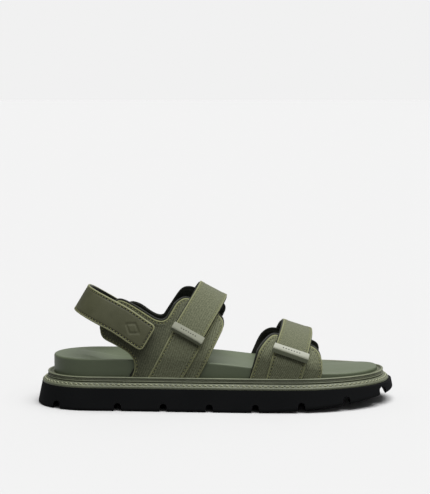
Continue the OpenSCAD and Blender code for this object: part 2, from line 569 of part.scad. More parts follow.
module heel_layer(in, out) {
    shell(heel_face(heel_v, heel_strap_w / 2, in), heel_face(heel_v, heel_strap_w / 2, out));
}
module heel_strap() { color(leather_col) heel_layer(heel_in, heel_out); }
module heel_strap_lining() { color(lining_col) heel_layer(heel_lining_in, heel_in); }

tape_v = [for (i = [0:5]) mix(0.1, 0.85, i / 5)];
heel_tape_half = heel_strap_w / 2 - tape_inset;
function heel_patch(off) =
    [for (v = tape_v) [for (i = [0:3]) heel_point(v, heel_tape_half * (i / 1.5 - 1), off)]];
module heel_hook_tape() {
    color(tape_col) shell(heel_patch(heel_hook_in), heel_patch(heel_hook_in + tape_t));
}
module heel_loop_tape() {
    half = heel_tape_half;
    cols = [for (i = [0:6]) let (v = mix(0.85, 0.1, i / 6), t = mix(heel_front_t, heel_turn_t, v))
        [[t, heel_h(v) - half], [t, heel_h(v) + half]]];
    out = panel_face(INSTEP, OUT, cols, heel_loop_out, 0);
    color(tape_col) shell(out, panel_face(INSTEP, OUT, cols, panel_out + seam, 0));
}
module heel_strap_base() {
    half = heel_strap_w / 2;
    cols = [for (i = [0:8])
        let (f = i / 8, t = mix(heel_turn_t + base_gap, heel_base_t, f), mid = mix(heel_h(2), heel_h(3), f))
        [[t, mid - half], [t, mid + half]]];
    off = panel_out + seam;
    in = panel_face(INSTEP, IN, cols, off, 0);
    color(leather_col) shell(in, panel_face(INSTEP, IN, cols, off + heel_out - heel_lining_in, 0));
}

outsole();
midsole();
insole_board();
welt();
welt_stitching();
rand();
footbed_core();
footbed_cover();
outer_quarter();
outer_quarter_lining();
outer_instep_overlay();
instep_loop_tape();
heel_loop_tape();
inner_quarter();
inner_quarter_lining();
instep_strap_base();
heel_strap_base();
outer_vamp();
outer_vamp_lining();
outer_vamp_overlay();
forefoot_loop_tape();
inner_vamp();
inner_vamp_lining();
forefoot_strap_base();
instep_strap();
instep_strap_lining();
instep_hook_tape();
instep_strap_tip();
forefoot_strap();
forefoot_strap_lining();
forefoot_hook_tape();
forefoot_strap_tip();
heel_strap();
heel_strap_lining();
heel_hook_tape();
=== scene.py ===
# A strappy sport sandal for the right foot. Lengths are in millimetres until a mesh is made, +X points
# to the toe, +Y to the inner side of the foot and +Z up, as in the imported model.
import json
import math

import bmesh
import bpy
import numpy as np
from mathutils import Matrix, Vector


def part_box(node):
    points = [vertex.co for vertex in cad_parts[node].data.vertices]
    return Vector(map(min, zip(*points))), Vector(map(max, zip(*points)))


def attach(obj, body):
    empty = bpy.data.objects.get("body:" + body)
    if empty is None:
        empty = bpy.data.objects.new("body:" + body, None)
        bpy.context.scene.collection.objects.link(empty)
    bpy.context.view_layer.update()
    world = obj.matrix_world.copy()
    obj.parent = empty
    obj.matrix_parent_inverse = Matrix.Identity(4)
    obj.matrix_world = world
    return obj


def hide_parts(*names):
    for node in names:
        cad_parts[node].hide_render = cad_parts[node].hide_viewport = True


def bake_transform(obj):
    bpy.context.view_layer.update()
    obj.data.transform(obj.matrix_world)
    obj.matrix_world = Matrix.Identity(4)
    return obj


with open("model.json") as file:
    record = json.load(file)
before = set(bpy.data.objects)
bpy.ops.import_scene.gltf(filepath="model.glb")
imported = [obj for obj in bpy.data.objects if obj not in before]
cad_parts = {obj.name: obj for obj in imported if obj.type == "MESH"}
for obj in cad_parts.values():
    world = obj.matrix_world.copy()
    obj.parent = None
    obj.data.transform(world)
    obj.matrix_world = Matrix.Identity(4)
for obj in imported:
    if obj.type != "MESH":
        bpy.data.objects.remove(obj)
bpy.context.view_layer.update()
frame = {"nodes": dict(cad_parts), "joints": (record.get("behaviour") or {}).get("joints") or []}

scene = bpy.context.scene

# ---- studio ----
# The sandal stands on a pale seamless floor under one large softbox that hangs a little towards its toe,
# with weak fills from the front and the back. A long lens looks at the outer side from just above the sole.
LENS_MM = 117.4
CAMERA_M = (-0.001, -1.3, 0.255)
CAMERA_DOWN_DEG = 5.67
PALE = "#f1f1f1"
FLOOR_M = 30


def linear(hex_colour):
    """An sRGB hex colour as linear red, green, blue and alpha."""
    srgb = np.array([int(hex_colour[i:i + 2], 16) for i in (1, 3, 5)]) / 255
    rgb = np.where(srgb <= 0.04045, srgb / 12.92, ((srgb + 0.055) / 1.055) ** 2.4)
    return (*rgb.tolist(), 1.0)


def add_node(tree, kind, inputs=None, **settings):
    """Adds one node, sets its properties, and gives its inputs a value or a link from another socket."""
    node = tree.nodes.new("ShaderNode" + kind)
    for key, value in settings.items():
        setattr(node, key, value)
    for key, value in (inputs or {}).items():
        if isinstance(value, bpy.types.NodeSocket):
            tree.links.new(value, node.inputs[key])
        else:
            node.inputs[key].default_value = value
    return node


def start_material(name, roughness):
    """An empty material with a Principled shader, whose roughness is the same all over."""
    material = bpy.data.materials.new(name)
    material.use_nodes = True
    tree = material.node_tree
    tree.nodes.clear()
    shader = add_node(tree, "BsdfPrincipled", {"Roughness": roughness})
    add_node(tree, "OutputMaterial", {"Surface": shader.outputs[0]})
    return material, tree, shader


def place(obj):
    """Links a new object into the scene."""
    scene.collection.objects.link(obj)
    return obj


camera = place(bpy.data.objects.new("camera", bpy.data.cameras.new("camera")))
camera.data.lens = LENS_MM
camera.location = CAMERA_M
camera.rotation_euler = (math.radians(90 - CAMERA_DOWN_DEG), 0, 0)
scene.camera = camera
scene.view_settings.view_transform = "Standard"

world = bpy.data.worlds.new("studio_air")
world.use_nodes = True
world.node_tree.nodes.clear()
seen = add_node(world.node_tree, "Background", {"Color": linear(PALE)})
lit = add_node(world.node_tree, "Background", {"Color": linear(PALE), "Strength": 0.18})
path = add_node(world.node_tree, "LightPath")
both = add_node(world.node_tree, "MixShader",
                {0: path.outputs["Is Camera Ray"], 1: lit.outputs[0], 2: seen.outputs[0]})
add_node(world.node_tree, "OutputWorld", {"Surface": both.outputs[0]})
scene.world = world

for name, strength, spread_deg, tilt_deg, turn_deg in (
    ("softbox_overhead", 4.75, 55, 14, 55),
    ("front_fill", 0.2, 60, 62, 25),
    ("back_fill", 0.3, 60, 60, 170),
):
    lamp = place(bpy.data.objects.new(name, bpy.data.lights.new(name, "SUN")))
    lamp.data.energy = strength
    lamp.data.angle = math.radians(spread_deg)
    lamp.rotation_euler = (math.radians(tilt_deg), 0, math.radians(turn_deg))

# Paper: matt and pale. Light that has bounced off it counts for less, as if dark flags stood beside the
# sandal, so that its sides keep their depth.
floor_paper, tree, shader = start_material("seamless_paper", 0.9)
bounce = add_node(tree, "LightPath")
paper = add_node(tree, "Mix",
                 {0: bounce.outputs["Is Diffuse Ray"], 6: linear("#c0c0c0"), 7: linear("#6c6c6c")},
                 data_type="RGBA")
tree.links.new(paper.outputs[2], shader.inputs["Base Color"])
shader.inputs["Specular IOR Level"].default_value = 0.0
floor_mesh = bpy.data.meshes.new("floor")
floor_corners = [(x * FLOOR_M, y * FLOOR_M, 0) for x, y in ((-1, -1), (1, -1), (1, 1), (-1, 1))]
floor_mesh.from_pydata(floor_corners, [], [(0, 1, 2, 3)])
floor_mesh.materials.append(floor_paper)
floor = place(bpy.data.objects.new("floor", floor_mesh))

# ---- outsole ----
# A moulded black rubber outsole: flat under heel and ball, turned up at the toe, narrower at its top
# than at the ground, with round-topped grooves moulded right across the tread.
bed_low, bed_high = (np.array(c) * 1000 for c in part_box("footbed_cover"))
sole_low, sole_high = (np.array(c) * 1000 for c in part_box("outsole"))
BED_LENGTH = bed_high[0] - bed_low[0]
HEEL_X = bed_low[0]
TOE_X = bed_high[0]
OUT = -1
IN = 1
OUTSOLE_T = 17.4
OUTSOLE_REACH = sole_high[0] - TOE_X
OUTSOLE_FLARE = 3.3
HEEL_HALF = 32.0
WAIST = {OUT: 38.0, IN: 30.0}
BALL = {OUT: 42.3, IN: 42.0}
HEEL_ROUND = HEEL_HALF + 3
TOE_ROUND = {OUT: 72.0, IN: 64.0}
TOE_TIP_Y = 12.0
TOE_RISE = 10.0
ROCKER_X = 20.0
GROOVE_W = 5.6
GROOVE_DEPTH = 6.4
GROOVE_PITCH = 36.3
HEEL_GROOVE_X = 17.5
SECOND_GROOVE_X = 66.8
EVEN_GROOVES = 6
TOE_GROOVE_X = 10.5
GROUND_ROUND = 1.8


def smooth_curve(xs, ys, x):
    """The smooth line through the stations (xs, ys): cubic pieces, whose slope at a station is that
    between its two neighbours, and which are level at both ends."""
    xs = np.asarray(xs, float)
    ys = np.asarray(ys, float)
    slopes = np.zeros(len(xs))
    slopes[1:-1] = (ys[2:] - ys[:-2]) / (xs[2:] - xs[:-2])
    x = np.clip(x, xs[0], xs[-1])
    i = np.clip(np.searchsorted(xs, x, side="right") - 1, 0, len(xs) - 2)
    step = xs[i + 1] - xs[i]
    f = (x - xs[i]) / step
    start = (2 * f**3 - 3 * f**2 + 1) * ys[i] + (f**3 - 2 * f**2 + f) * step * slopes[i]
    return start + (3 * f**2 - 2 * f**3) * ys[i + 1] + (f**3 - f**2) * step * slopes[i + 1]


def rounded_in(d, length, power):
    """1 where d is 0 or less, falling to 0 at d = length as a superellipse of that power."""
    return (1 - np.clip(d / length, 0, 1) ** power) ** (1 / power)


def bed_edge(x, side):
    """Y of the footbed's edge at x: a smooth line through the widths of heel, waist and ball, drawn in
    by a superellipse at the heel and, towards the big toe, at the toe."""
    stations = BED_LENGTH * np.array([-0.5, -0.36, -0.06, 0.22, 0.5])
    widths = [HEEL_HALF, HEEL_HALF, WAIST[side], BALL[side], 0.93 * BALL[side]]
    y = side * smooth_curve(stations, widths, x)
    toe = rounded_in(x - TOE_X + TOE_ROUND[side], TOE_ROUND[side], 2.15)
    return np.where(x < 0, y * rounded_in(HEEL_X + HEEL_ROUND - x, HEEL_ROUND, 2.1),
                    TOE_TIP_Y + (y - TOE_TIP_Y) * toe)


def plan_ring(count):
    """Points round the footbed's outline, from the heel along the outer side to the toe and back, at
    even distances, and the outward normal at each."""
    turn = np.linspace(0, 2 * np.pi, 2401)
    x = HEEL_X + BED_LENGTH * (1 - np.cos(turn)) / 2
    p = np.stack([x, np.where(turn < np.pi, bed_edge(x, OUT), bed_edge(x, IN))], -1)
    s = np.concatenate([[0], np.cumsum(np.linalg.norm(np.diff(p, axis=0), axis=1))])
    at = np.linspace(0, s[-1], count, endpoint=False)
    ring = np.stack([np.interp(at, s, p[:, k]) for k in (0, 1)], -1)
    along = np.roll(ring, -2, 0) - np.roll(ring, 2, 0)
    normal = np.stack([along[:, 1], -along[:, 0]], -1)
    return ring, normal / np.linalg.norm(normal, axis=1, keepdims=True)


def toe_lift(x):
    """Height of the tread above the ground: level to the rocker, then rising as a power of 1.6."""
    return TOE_RISE * np.clip((x - ROCKER_X) / (sole_high[0] - ROCKER_X), 0, None) ** 1.6


def make_piece(name, points, faces, material, uv=None, edge_mm=None, sharp_deg=None):
    """A finished mesh piece from points in millimetres. Coinciding points are merged, so that edges and
    poles are closed. uv holds millimetres over the surface, and edge_mm the distance from its edge."""
    mesh = bpy.data.meshes.new(name)
    mesh.from_pydata((np.asarray(points) / 1000).tolist(), [], np.asarray(faces).tolist())
    if uv is not None:
        corner = np.zeros(len(mesh.loops), np.int32)
        mesh.loops.foreach_get("vertex_index", corner)
        layer = mesh.uv_layers.new(name="cloth_mm")
        layer.data.foreach_set("uv", (np.asarray(uv)[corner] / 100).astype(np.float32).ravel())
    if edge_mm is not None:
        attribute = mesh.attributes.new("edge_mm", "FLOAT", "POINT")
        attribute.data.foreach_set("value", np.asarray(edge_mm, np.float32).ravel())
    work = bmesh.new()
    work.from_mesh(mesh)
    bmesh.ops.remove_doubles(work, verts=work.verts, dist=2e-6)
    bmesh.ops.dissolve_degenerate(work, edges=work.edges, dist=1e-7)
    work.to_mesh(mesh)
    work.free()
    mesh.polygons.foreach_set("use_smooth", [True] * len(mesh.polygons))
    if sharp_deg:
        mesh.set_sharp_from_angle(angle=math.radians(sharp_deg))
    mesh.materials.append(material)
    return place(bpy.data.objects.new(name, mesh))


def grid_faces(rows, cols, wrap_rows=False, wrap_cols=False, start=0):
    """Quads over a grid of points stored row by row; a wrapped direction joins its last line to its
    first. A face's normal is the row step crossed with the column step."""
    i, j = np.meshgrid(np.arange(rows if wrap_rows else rows - 1),
                       np.arange(cols if wrap_cols else cols - 1), indexing="ij")
    up = (i + 1) % rows
    right = (j + 1) % cols
    corners = [i * cols + j, up * cols + j, up * cols + right, i * cols + right]
    return start + np.stack(corners, -1).reshape(-1, 4)


def smooth_share(count, slow_start):
    """Shares from 0 to 1, even, or packed closely at the start."""
    share = np.linspace(0, 1, count)
    return 1 - np.cos(share * np.pi / 2) if slow_start else share


def tread_line():
    """The tread's underside seen from the side, from heel to toe: (x, z) points that follow the lift and
    go up and over each groove, with eased groove mouths."""
    ease = 0.5
    half = GROOVE_W / 2
    first = sole_low[0]
    even = first + SECOND_GROOVE_X + GROOVE_PITCH * np.arange(EVEN_GROOVES)
    middles = np.concatenate([[first + HEEL_GROOVE_X], even, [sole_high[0] - TOE_GROOVE_X]])
    turn = np.linspace(np.pi, 0, 11)
    up = GROOVE_DEPTH - half
    groove = np.concatenate([
        [[-half - ease - 0.1, 0], [-half - 0.25, 0.12], [-half - 0.1, ease], [-half - 0.03, up * 0.6]],
        np.stack([half * np.cos(turn), up + half * np.sin(turn)], -1),
        [[half + 0.03, up * 0.6], [half + 0.1, ease], [half + 0.25, 0.12], [half + ease + 0.1, 0]],
    ])
    spans = [first, *middles, sole_high[0]]
    line = []
    for k, middle in enumerate(middles):
        before = spans[k] + (half + 1 if k else 0)
        x = before + (middle - half - 1 - before) * smooth_share(18, k == 0)
        line.append(np.stack([x, toe_lift(x)], -1))
        line.append(groove + [middle, toe_lift(middle)])
    x = spans[-2] + half + 1 + (spans[-1] - spans[-2] - half - 1) * np.sin(np.linspace(0, np.pi / 2, 16))
    line.append(np.stack([x, toe_lift(x)], -1))
    return np.concatenate(line)


ring_fine, normal_fine = plan_ring(2400)


def side_at(x, side, reach):
    """Plan points on one side of the sole at the offset reach, which lie where the outline offset by the
    full reach has the given x."""
    toe = int(np.argmax(ring_fine[:, 0]))
    pick = np.arange(0, toe + 1) if side == OUT else np.r_[0, np.arange(len(ring_fine) - 1, toe - 1, -1)]
    full = np.maximum.accumulate(ring_fine[pick, 0] + OUTSOLE_REACH * normal_fine[pick, 0])
    at = np.interp(x, full, np.arange(len(pick)))
    px, py, nx, ny = (np.interp(at, np.arange(len(pick)), c[pick]) for c in (
        ring_fine[:, 0], ring_fine[:, 1], normal_fine[:, 0], normal_fine[:, 1]))
    return np.stack([px + reach * nx, py + reach * ny], -1)


def reach_at(z):
    """How far the outsole stands out at the height z above its tread: full above a rounded bottom edge,
    and drawn in evenly to its top."""
    low = np.clip(z / GROUND_ROUND, 0, 1)
    rounded = GROUND_ROUND * (1 - np.sqrt(1 - (1 - low) ** 2))
    flare = OUTSOLE_FLARE * np.clip((z - GROUND_ROUND) / (OUTSOLE_T - GROUND_ROUND), 0, 1)
    return OUTSOLE_REACH - 0.75 * rounded - flare


tread = tread_line()
levels = np.array([0, 0.02, 0.05, 0.1, 0.17, 0.3, 0.45, 0.6, 0.75, 0.88, 0.96, 0.99, 1])
sides = {}
for side in (OUT, IN):
    rows = []
    for level in levels:
        z = tread[:, 1] + (OUTSOLE_T - tread[:, 1]) * level
        plan = side_at(tread[:, 0], side, reach_at(z - toe_lift(tread[:, 0]))[:, None].ravel())
        rows.append(np.column_stack([plan, z]))
    sides[side] = rows
across = np.linspace(0, 1, 18)[1:-1]
under = [sides[OUT][0] + (sides[IN][0] - sides[OUT][0]) * f for f in across]
over = [sides[IN][-1] + (sides[OUT][-1] - sides[IN][-1]) * f for f in across]
loops = np.stack([*sides[OUT][::-1], *under, *sides[IN], *over], 1)

# Rubber from a blasted mould: nearly black, with a broad weak gloss and a fine even tooth.
outsole_rubber, tree, shader = start_material("moulded_rubber_outsole", 0.85)
coordinates = add_node(tree, "TexCoord")
tooth = add_node(tree, "TexNoise", {"Vector": coordinates.outputs["Object"], "Scale": 900.0, "Detail": 3.0})
patches = add_node(tree, "TexNoise", {"Vector": coordinates.outputs["Object"], "Scale": 35.0, "Detail": 4.0})
shade = add_node(tree, "ValToRGB", {"Fac": patches.outputs["Fac"]})
shade.color_ramp.elements[0].color = linear("#0b0c0d")
shade.color_ramp.elements[1].color = linear("#141516")
relief = add_node(tree, "Bump", {"Height": tooth.outputs["Fac"], "Strength": 0.25, "Distance": 0.0003})
tree.links.new(shade.outputs["Color"], shader.inputs["Base Color"])
tree.links.new(relief.outputs["Normal"], shader.inputs["Normal"])
shader.inputs["Specular IOR Level"].default_value = 0.08

outsole = make_piece("outsole_rubber", loops.reshape(-1, 3),
                     grid_faces(len(loops), loops.shape[1], wrap_cols=True), outsole_rubber, sharp_deg=38)
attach(outsole, "sandal")
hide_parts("outsole")

# ---- welt ----
# A strip of olive thermoplastic rubber that frames the sole: a rounded outer rim, a channel for the
# stitch row, and a slope up to the rand. It is moulded with the outsole's top edge.
WELT_H = 4.2
WELT_RIM = 2.2
WELT_IN = 3.2
WELT_OUT = 9.5
RAND_IN = 2.8
RAND_REACH = 5.1
STITCH_OFF = 7.3
CHANNEL_HALF = 0.8
CHANNEL_DEPTH = 0.5
ring, ring_normal = plan_ring(420)


def rounded_profile(corners, radius, steps=4):
    """A closed profile whose corners are cut by arcs: each corner becomes a quadratic curve between the
    two points that lie a radius (or nearly half a side) from it."""
    p = np.asarray(corners, float)
    rounded = []
    for k, corner in enumerate(p):
        back = p[k - 1] - corner
        ahead = p[(k + 1) % len(p)] - corner
        r = min(radius, 0.45 * np.linalg.norm(back), 0.45 * np.linalg.norm(ahead))
        a = corner + back / np.linalg.norm(back) * r
        b = corner + ahead / np.linalg.norm(ahead) * r
        f = np.linspace(0, 1, steps)[:, None]
        rounded.append((1 - f) ** 2 * a + 2 * f * (1 - f) * corner + f**2 * b)
    return np.concatenate(rounded)


def swept_round_sole(profile):
    """The profile's (distance outside the footbed, height) points carried round the outline."""
    plan = ring[:, None, :] + ring_normal[:, None, :] * profile[None, :, :1]
    height = np.broadcast_to(profile[None, :, 1:], (len(ring), len(profile), 1))
    return np.concatenate([plan, height], -1)


def welt_slope(off):
    """Height of the welt's top, which falls evenly from the rand to the outer rim."""
    return OUTSOLE_T + WELT_H + (WELT_RIM - WELT_H) * (off - RAND_REACH) / (WELT_OUT - 1.2 - RAND_REACH)


channel_in = STITCH_OFF - CHANNEL_HALF
channel_out = STITCH_OFF + CHANNEL_HALF
welt_profile = rounded_profile([
    (WELT_IN, OUTSOLE_T), (WELT_OUT - 0.2, OUTSOLE_T), (WELT_OUT, OUTSOLE_T + 0.5),
    (WELT_OUT, OUTSOLE_T + 1.5), (WELT_OUT - 0.5, OUTSOLE_T + WELT_RIM),
    (channel_out, welt_slope(channel_out) + 0.15),
    (channel_out - 0.15, welt_slope(channel_out) - CHANNEL_DEPTH),
    (channel_in + 0.15, welt_slope(channel_in) - CHANNEL_DEPTH), (channel_in, welt_slope(channel_in)),
    (RAND_REACH + 0.3, OUTSOLE_T + WELT_H), (WELT_IN, OUTSOLE_T + WELT_H)], 0.55)

# Thermoplastic rubber, moulded and left as it comes: olive and satin, with a painted highlight on raised
# edges and painted shade in its channels, both taken from the mesh's pointiness.
welt_rubber, tree, shader = start_material("moulded_tpr_olive", 0.5)
coordinates = add_node(tree, "TexCoord")
cloud = add_node(tree, "TexNoise", {"Vector": coordinates.outputs["Object"], "Scale": 60.0, "Detail": 5.0})
grit = add_node(tree, "TexNoise", {"Vector": coordinates.outputs["Object"], "Scale": 1400.0, "Detail": 2.0})
shade = add_node(tree, "ValToRGB", {"Fac": cloud.outputs["Fac"]})
shade.color_ramp.elements[0].position = 0.3
shade.color_ramp.elements[0].color = linear("#5d614e")
shade.color_ramp.elements[1].position = 0.7
shade.color_ramp.elements[1].color = linear("#686c57")
# Painted highlight on convex edges and painted shade in concave channels, from pointiness.
bend = add_node(tree, "NewGeometry")
raised = add_node(tree, "ValToRGB", {"Fac": bend.outputs["Pointiness"]})
raised.color_ramp.elements[0].position = 0.47
raised.color_ramp.elements[0].color = (0.45, 0.45, 0.45, 1)
raised.color_ramp.elements[1].position = 0.55
raised.color_ramp.elements[1].color = (1.25, 1.25, 1.25, 1)
paint = add_node(tree, "Mix", {0: 1.0, 6: shade.outputs["Color"], 7: raised.outputs["Color"]},
                 data_type="RGBA", blend_type="MULTIPLY")
relief = add_node(tree, "Bump", {"Height": grit.outputs["Fac"], "Strength": 0.2, "Distance": 0.0002})
tree.links.new(paint.outputs[2], shader.inputs["Base Color"])
tree.links.new(relief.outputs["Normal"], shader.inputs["Normal"])
shader.inputs["Specular IOR Level"].default_value = 0.4

welt_points = swept_round_sole(welt_profile)
welt = make_piece("welt_strip", welt_points.reshape(-1, 3),
                  grid_faces(*welt_points.shape[:2], wrap_rows=True, wrap_cols=True), welt_rubber)
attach(welt, "sandal")
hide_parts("welt")

# ---- welt stitching ----
# A row of thick waxed thread, one lock stitch every few millimetres, lying in the welt's channel. Each
# stitch bulges between the two holes that it goes down into.
WELT_STITCH = 4.3
WELT_STITCH_LONG = 3.5
WELT_THREAD = 1.35
WELT_HOLE = 1.5
WELT_HOLE_IN = 0.6
WELT_HOLE_UP = 0.36


def stitches(name, line, normals, pitch, length, thread, material, lift=0.3):
    """Short threads along a line of points: each is a six-sided tube that thins and dives at both ends.
    The tube's centre stands lift thread widths above the line, along the normals."""
    s = np.concatenate([[0], np.cumsum(np.linalg.norm(np.diff(line, axis=0), axis=1))])
    count = max(1, int(s[-1] / pitch))
    middles = (np.arange(count) + 0.5) * s[-1] / count
    share = np.array([-1, -0.82, -0.4, 0, 0.4, 0.82, 1])
    at = middles[:, None] + share * length / 2
    here = np.stack([np.interp(at, s, line[:, k]) for k in range(3)], -1)
    out = np.stack([np.interp(at, s, normals[:, k]) for k in range(3)], -1)
    out /= np.linalg.norm(out, axis=-1, keepdims=True)
    along = here[:, -1:] - here[:, :1]
    along = along / np.linalg.norm(along, axis=-1, keepdims=True)
    aside = np.cross(out, along)
    bulge = 1 - share**2
    centre = here + out * ((lift * bulge - 0.25 * (1 - bulge)) * thread)[None, :, None]
    radius = thread / 2 * np.array([0.3, 0.72, 0.98, 1, 0.98, 0.72, 0.3])
    turn = np.arange(6) * np.pi / 3
    across = aside[:, :, None] * np.cos(turn)[None, None, :, None]
    upward = out[:, :, None] * np.sin(turn)[None, None, :, None]
    tube = centre[:, :, None] + radius[None, :, None, None] * (across + upward)
    faces = grid_faces(len(share), 6, wrap_cols=True)[:, ::-1]
    size = len(share) * 6
    ends = [[0, 1, 2, 3], [0, 3, 4, 5],
            [size - 1, size - 2, size - 3, size - 4], [size - 1, size - 4, size - 5, size - 6]]
    one = np.concatenate([faces, ends])
    every = (one[None] + size * np.arange(count)[:, None, None]).reshape(-1, 4)
    return make_piece(name, tube.reshape(-1, 3), every, material)


def unit(v):
    """Vectors of length 1."""
    return v / np.linalg.norm(v, axis=-1, keepdims=True)


def dimples(name, line, normals, count, length, width, material, closed=False):
    """Small dark dimples spread evenly along a line: each is a shallow eight-sided cone, length by width.
    On a closed line the last one stays a step short of the first."""
    s = np.concatenate([[0], np.cumsum(np.linalg.norm(np.diff(line, axis=0), axis=1))])
    at = np.linspace(0, s[-1], count, endpoint=not closed)
    here = np.stack([np.interp(at, s, line[:, k]) for k in range(3)], -1)
    out = unit(np.stack([np.interp(at, s, normals[:, k]) for k in range(3)], -1))
    near = np.clip(at[:, None] + [-0.3, 0.3], 0, s[-1])
    ends = np.stack([np.interp(near, s, line[:, k]) for k in range(3)], -1)
    along = unit(ends[:, 1] - ends[:, 0])
    aside = unit(np.cross(out, along))
    turn = np.arange(8) * np.pi / 4
    lengthwise = along[:, None] * (length / 2 * np.cos(turn))[:, None]
    sideways = aside[:, None] * (width / 2 * np.sin(turn))[:, None]
    brim = here[:, None] + 0.04 * out[:, None] + (lengthwise + sideways)
    points = np.concatenate([brim, (here + 0.14 * out)[:, None], (here - 0.2 * out)[:, None]], 1)
    step = np.arange(8)
    cone = np.concatenate([np.stack([step, (step + 1) % 8, np.full(8, 8)], -1),
                           np.stack([(step + 1) % 8, step, np.full(8, 9)], -1)])
    faces = (cone[None] + 10 * np.arange(count)[:, None, None]).reshape(-1, 3)
    return make_piece(name, points.reshape(-1, 3), faces, material)


# Bonded polyester thread, twisted from three plies: pale olive with a soft sheen, and a twist that
# shows as fine slanting lines.
thread_pale, tree, shader = start_material("bonded_polyester_thread", 0.6)
coordinates = add_node(tree, "TexCoord")
twist = add_node(tree, "TexWave",
                 {"Vector": coordinates.outputs["Object"], "Scale": 420.0, "Distortion": 1.0},
                 wave_type="BANDS", bands_direction="DIAGONAL")
shade = add_node(tree, "ValToRGB", {"Fac": twist.outputs["Fac"]})
shade.color_ramp.elements[0].color = linear("#777a60")
shade.color_ramp.elements[1].color = linear("#8f9275")
tree.links.new(shade.outputs["Color"], shader.inputs["Base Color"])
shader.inputs["Sheen Weight"].default_value = 0.2

# Painted shade for the needle's holes: dark discs the colour of torn rubber or cut cloth in deep shade, with
# a little fuzz.
hole_shade, tree, shader = start_material("hole_shade", 0.9)
coordinates = add_node(tree, "TexCoord")
fuzz = add_node(tree, "TexNoise", {"Vector": coordinates.outputs["Object"], "Scale": 2000.0})
shade = add_node(tree, "ValToRGB", {"Fac": fuzz.outputs["Fac"]})
shade.color_ramp.elements[0].color = linear("#0d0e0a")
shade.color_ramp.elements[1].color = linear("#191b13")
tree.links.new(shade.outputs["Color"], shader.inputs["Base Color"])

closed = np.r_[np.arange(len(ring)), 0]
floor_z = np.full(len(closed), welt_slope(STITCH_OFF) - CHANNEL_DEPTH)
stitch_line = np.column_stack([ring[closed] + ring_normal[closed] * STITCH_OFF, floor_z])
hole_plan = ring[closed] + ring_normal[closed] * (STITCH_OFF - WELT_HOLE_IN)
hole_line = np.column_stack([hole_plan, floor_z + WELT_HOLE_UP])
upright = np.tile([0.0, 0.0, 1.0], (len(closed), 1))
slanted = np.column_stack([ring_normal[closed], np.full(len(closed), 0.9)])
welt_row = stitches("welt_thread", stitch_line, upright, WELT_STITCH, WELT_STITCH_LONG, WELT_THREAD,
                    thread_pale, lift=0.5)
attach(welt_row, "sandal")
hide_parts("welt_stitching")
stitch_count = int(np.linalg.norm(np.diff(stitch_line, axis=0), axis=1).sum() / WELT_STITCH)
# Dark discs at the needle holes: painted shade.
welt_holes = dimples("welt_needle_holes", hole_line, slanted, stitch_count, WELT_HOLE, WELT_HOLE,
                     hole_shade, closed=True)
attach(welt_holes, "sandal")

# ---- rand ----
# A ribbed strip of the same olive rubber, cemented round the lasted edge above the welt. Its face has
# three fine level ribs between two plain beads, and it is undercut below the lower bead.
RAND_H = 4.4
RIB_DEPTH = 0.3
RIB_LOW = 1.5
RIB_HIGH = 3.3
RIB_COUNT = 3
BEAD_ROUND = 0.42
BEAD_Z = 1.05
WALL_JOIN = 0.1
rand_low = OUTSOLE_T + WELT_H
rib_z = np.linspace(RIB_LOW, RIB_HIGH, 31)
rib_turn = RIB_COUNT * 2 * np.pi * (rib_z - RIB_LOW) / (RIB_HIGH - RIB_LOW)
rib_face = RAND_REACH - 0.1 - RIB_DEPTH * (0.5 + 0.5 * np.cos(rib_turn))
bead_turn = np.linspace(-np.pi / 2, np.pi / 2, 9)
bead_face = RAND_REACH - 0.1 + BEAD_ROUND * np.cos(bead_turn)
rand_profile = np.concatenate([
    [(RAND_IN, rand_low), (RAND_REACH - 0.55, rand_low), (RAND_REACH - 0.6, rand_low + 0.3)],
    np.column_stack([bead_face, rand_low + BEAD_Z + BEAD_ROUND * np.sin(bead_turn)]),
    np.column_stack([rib_face, rand_low + rib_z]),
    [(RAND_REACH + 0.02, rand_low + RAND_H * 0.79), (RAND_REACH + 0.08, rand_low + RAND_H * 0.86),
     (RAND_REACH - 0.12, rand_low + RAND_H * 0.94),
     (RAND_REACH - 0.6, rand_low + RAND_H * 0.99), (RAND_REACH - 1.0, rand_low + RAND_H),
     (RAND_REACH - 1.6, rand_low + RAND_H - 0.1), (RAND_REACH - 1.9, rand_low + RAND_H - 0.9),
     (RAND_IN, rand_low + RAND_H - 1.3), (WALL_JOIN, rand_low + RAND_H - 1.2),
     (WALL_JOIN, rand_low + RAND_H - 2.4), (RAND_IN, rand_low + RAND_H - 2.8)]])
rand_points = swept_round_sole(rand_profile)
rand = make_piece("rand_strip", rand_points.reshape(-1, 3),
                  grid_faces(*rand_points.shape[:2], wrap_rows=True, wrap_cols=True), welt_rubber)
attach(rand, "sandal")
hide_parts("rand")

# ---- midsole, insole board and footbed core ----
# Inside the sole unit: a die-cut foam midsole, the fibre board that the panels are lasted to, and the
# footbed's moulded core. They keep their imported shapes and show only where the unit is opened.
for node, name, dark, pale, grain, rough in (
    ("midsole", "die_cut_eva_foam", "#33352e", "#43453c", 500.0, 0.85),
    ("insole_board", "pressed_fibre_board", "#8d764f", "#b39c72", 260.0, 0.9),
    ("footbed_core", "moulded_pu_foam", "#262824", "#34362f", 700.0, 0.8),
):
    inside, tree, shader = start_material(name, rough)
    coordinates = add_node(tree, "TexCoord")
    cells = add_node(tree, "TexVoronoi", {"Vector": coordinates.outputs["Object"], "Scale": grain})
    shade = add_node(tree, "ValToRGB", {"Fac": cells.outputs["Distance"]})
    shade.color_ramp.elements[0].color = linear(dark)
    shade.color_ramp.elements[1].color = linear(pale)
    relief = add_node(tree, "Bump",
                      {"Height": cells.outputs["Distance"], "Strength": 0.4, "Distance": 0.0004})
    tree.links.new(shade.outputs["Color"], shader.inputs["Base Color"])
    tree.links.new(relief.outputs["Normal"], shader.inputs["Normal"])
    slots = frame["nodes"][node].data.materials
    slots.clear()
    slots.append(inside)

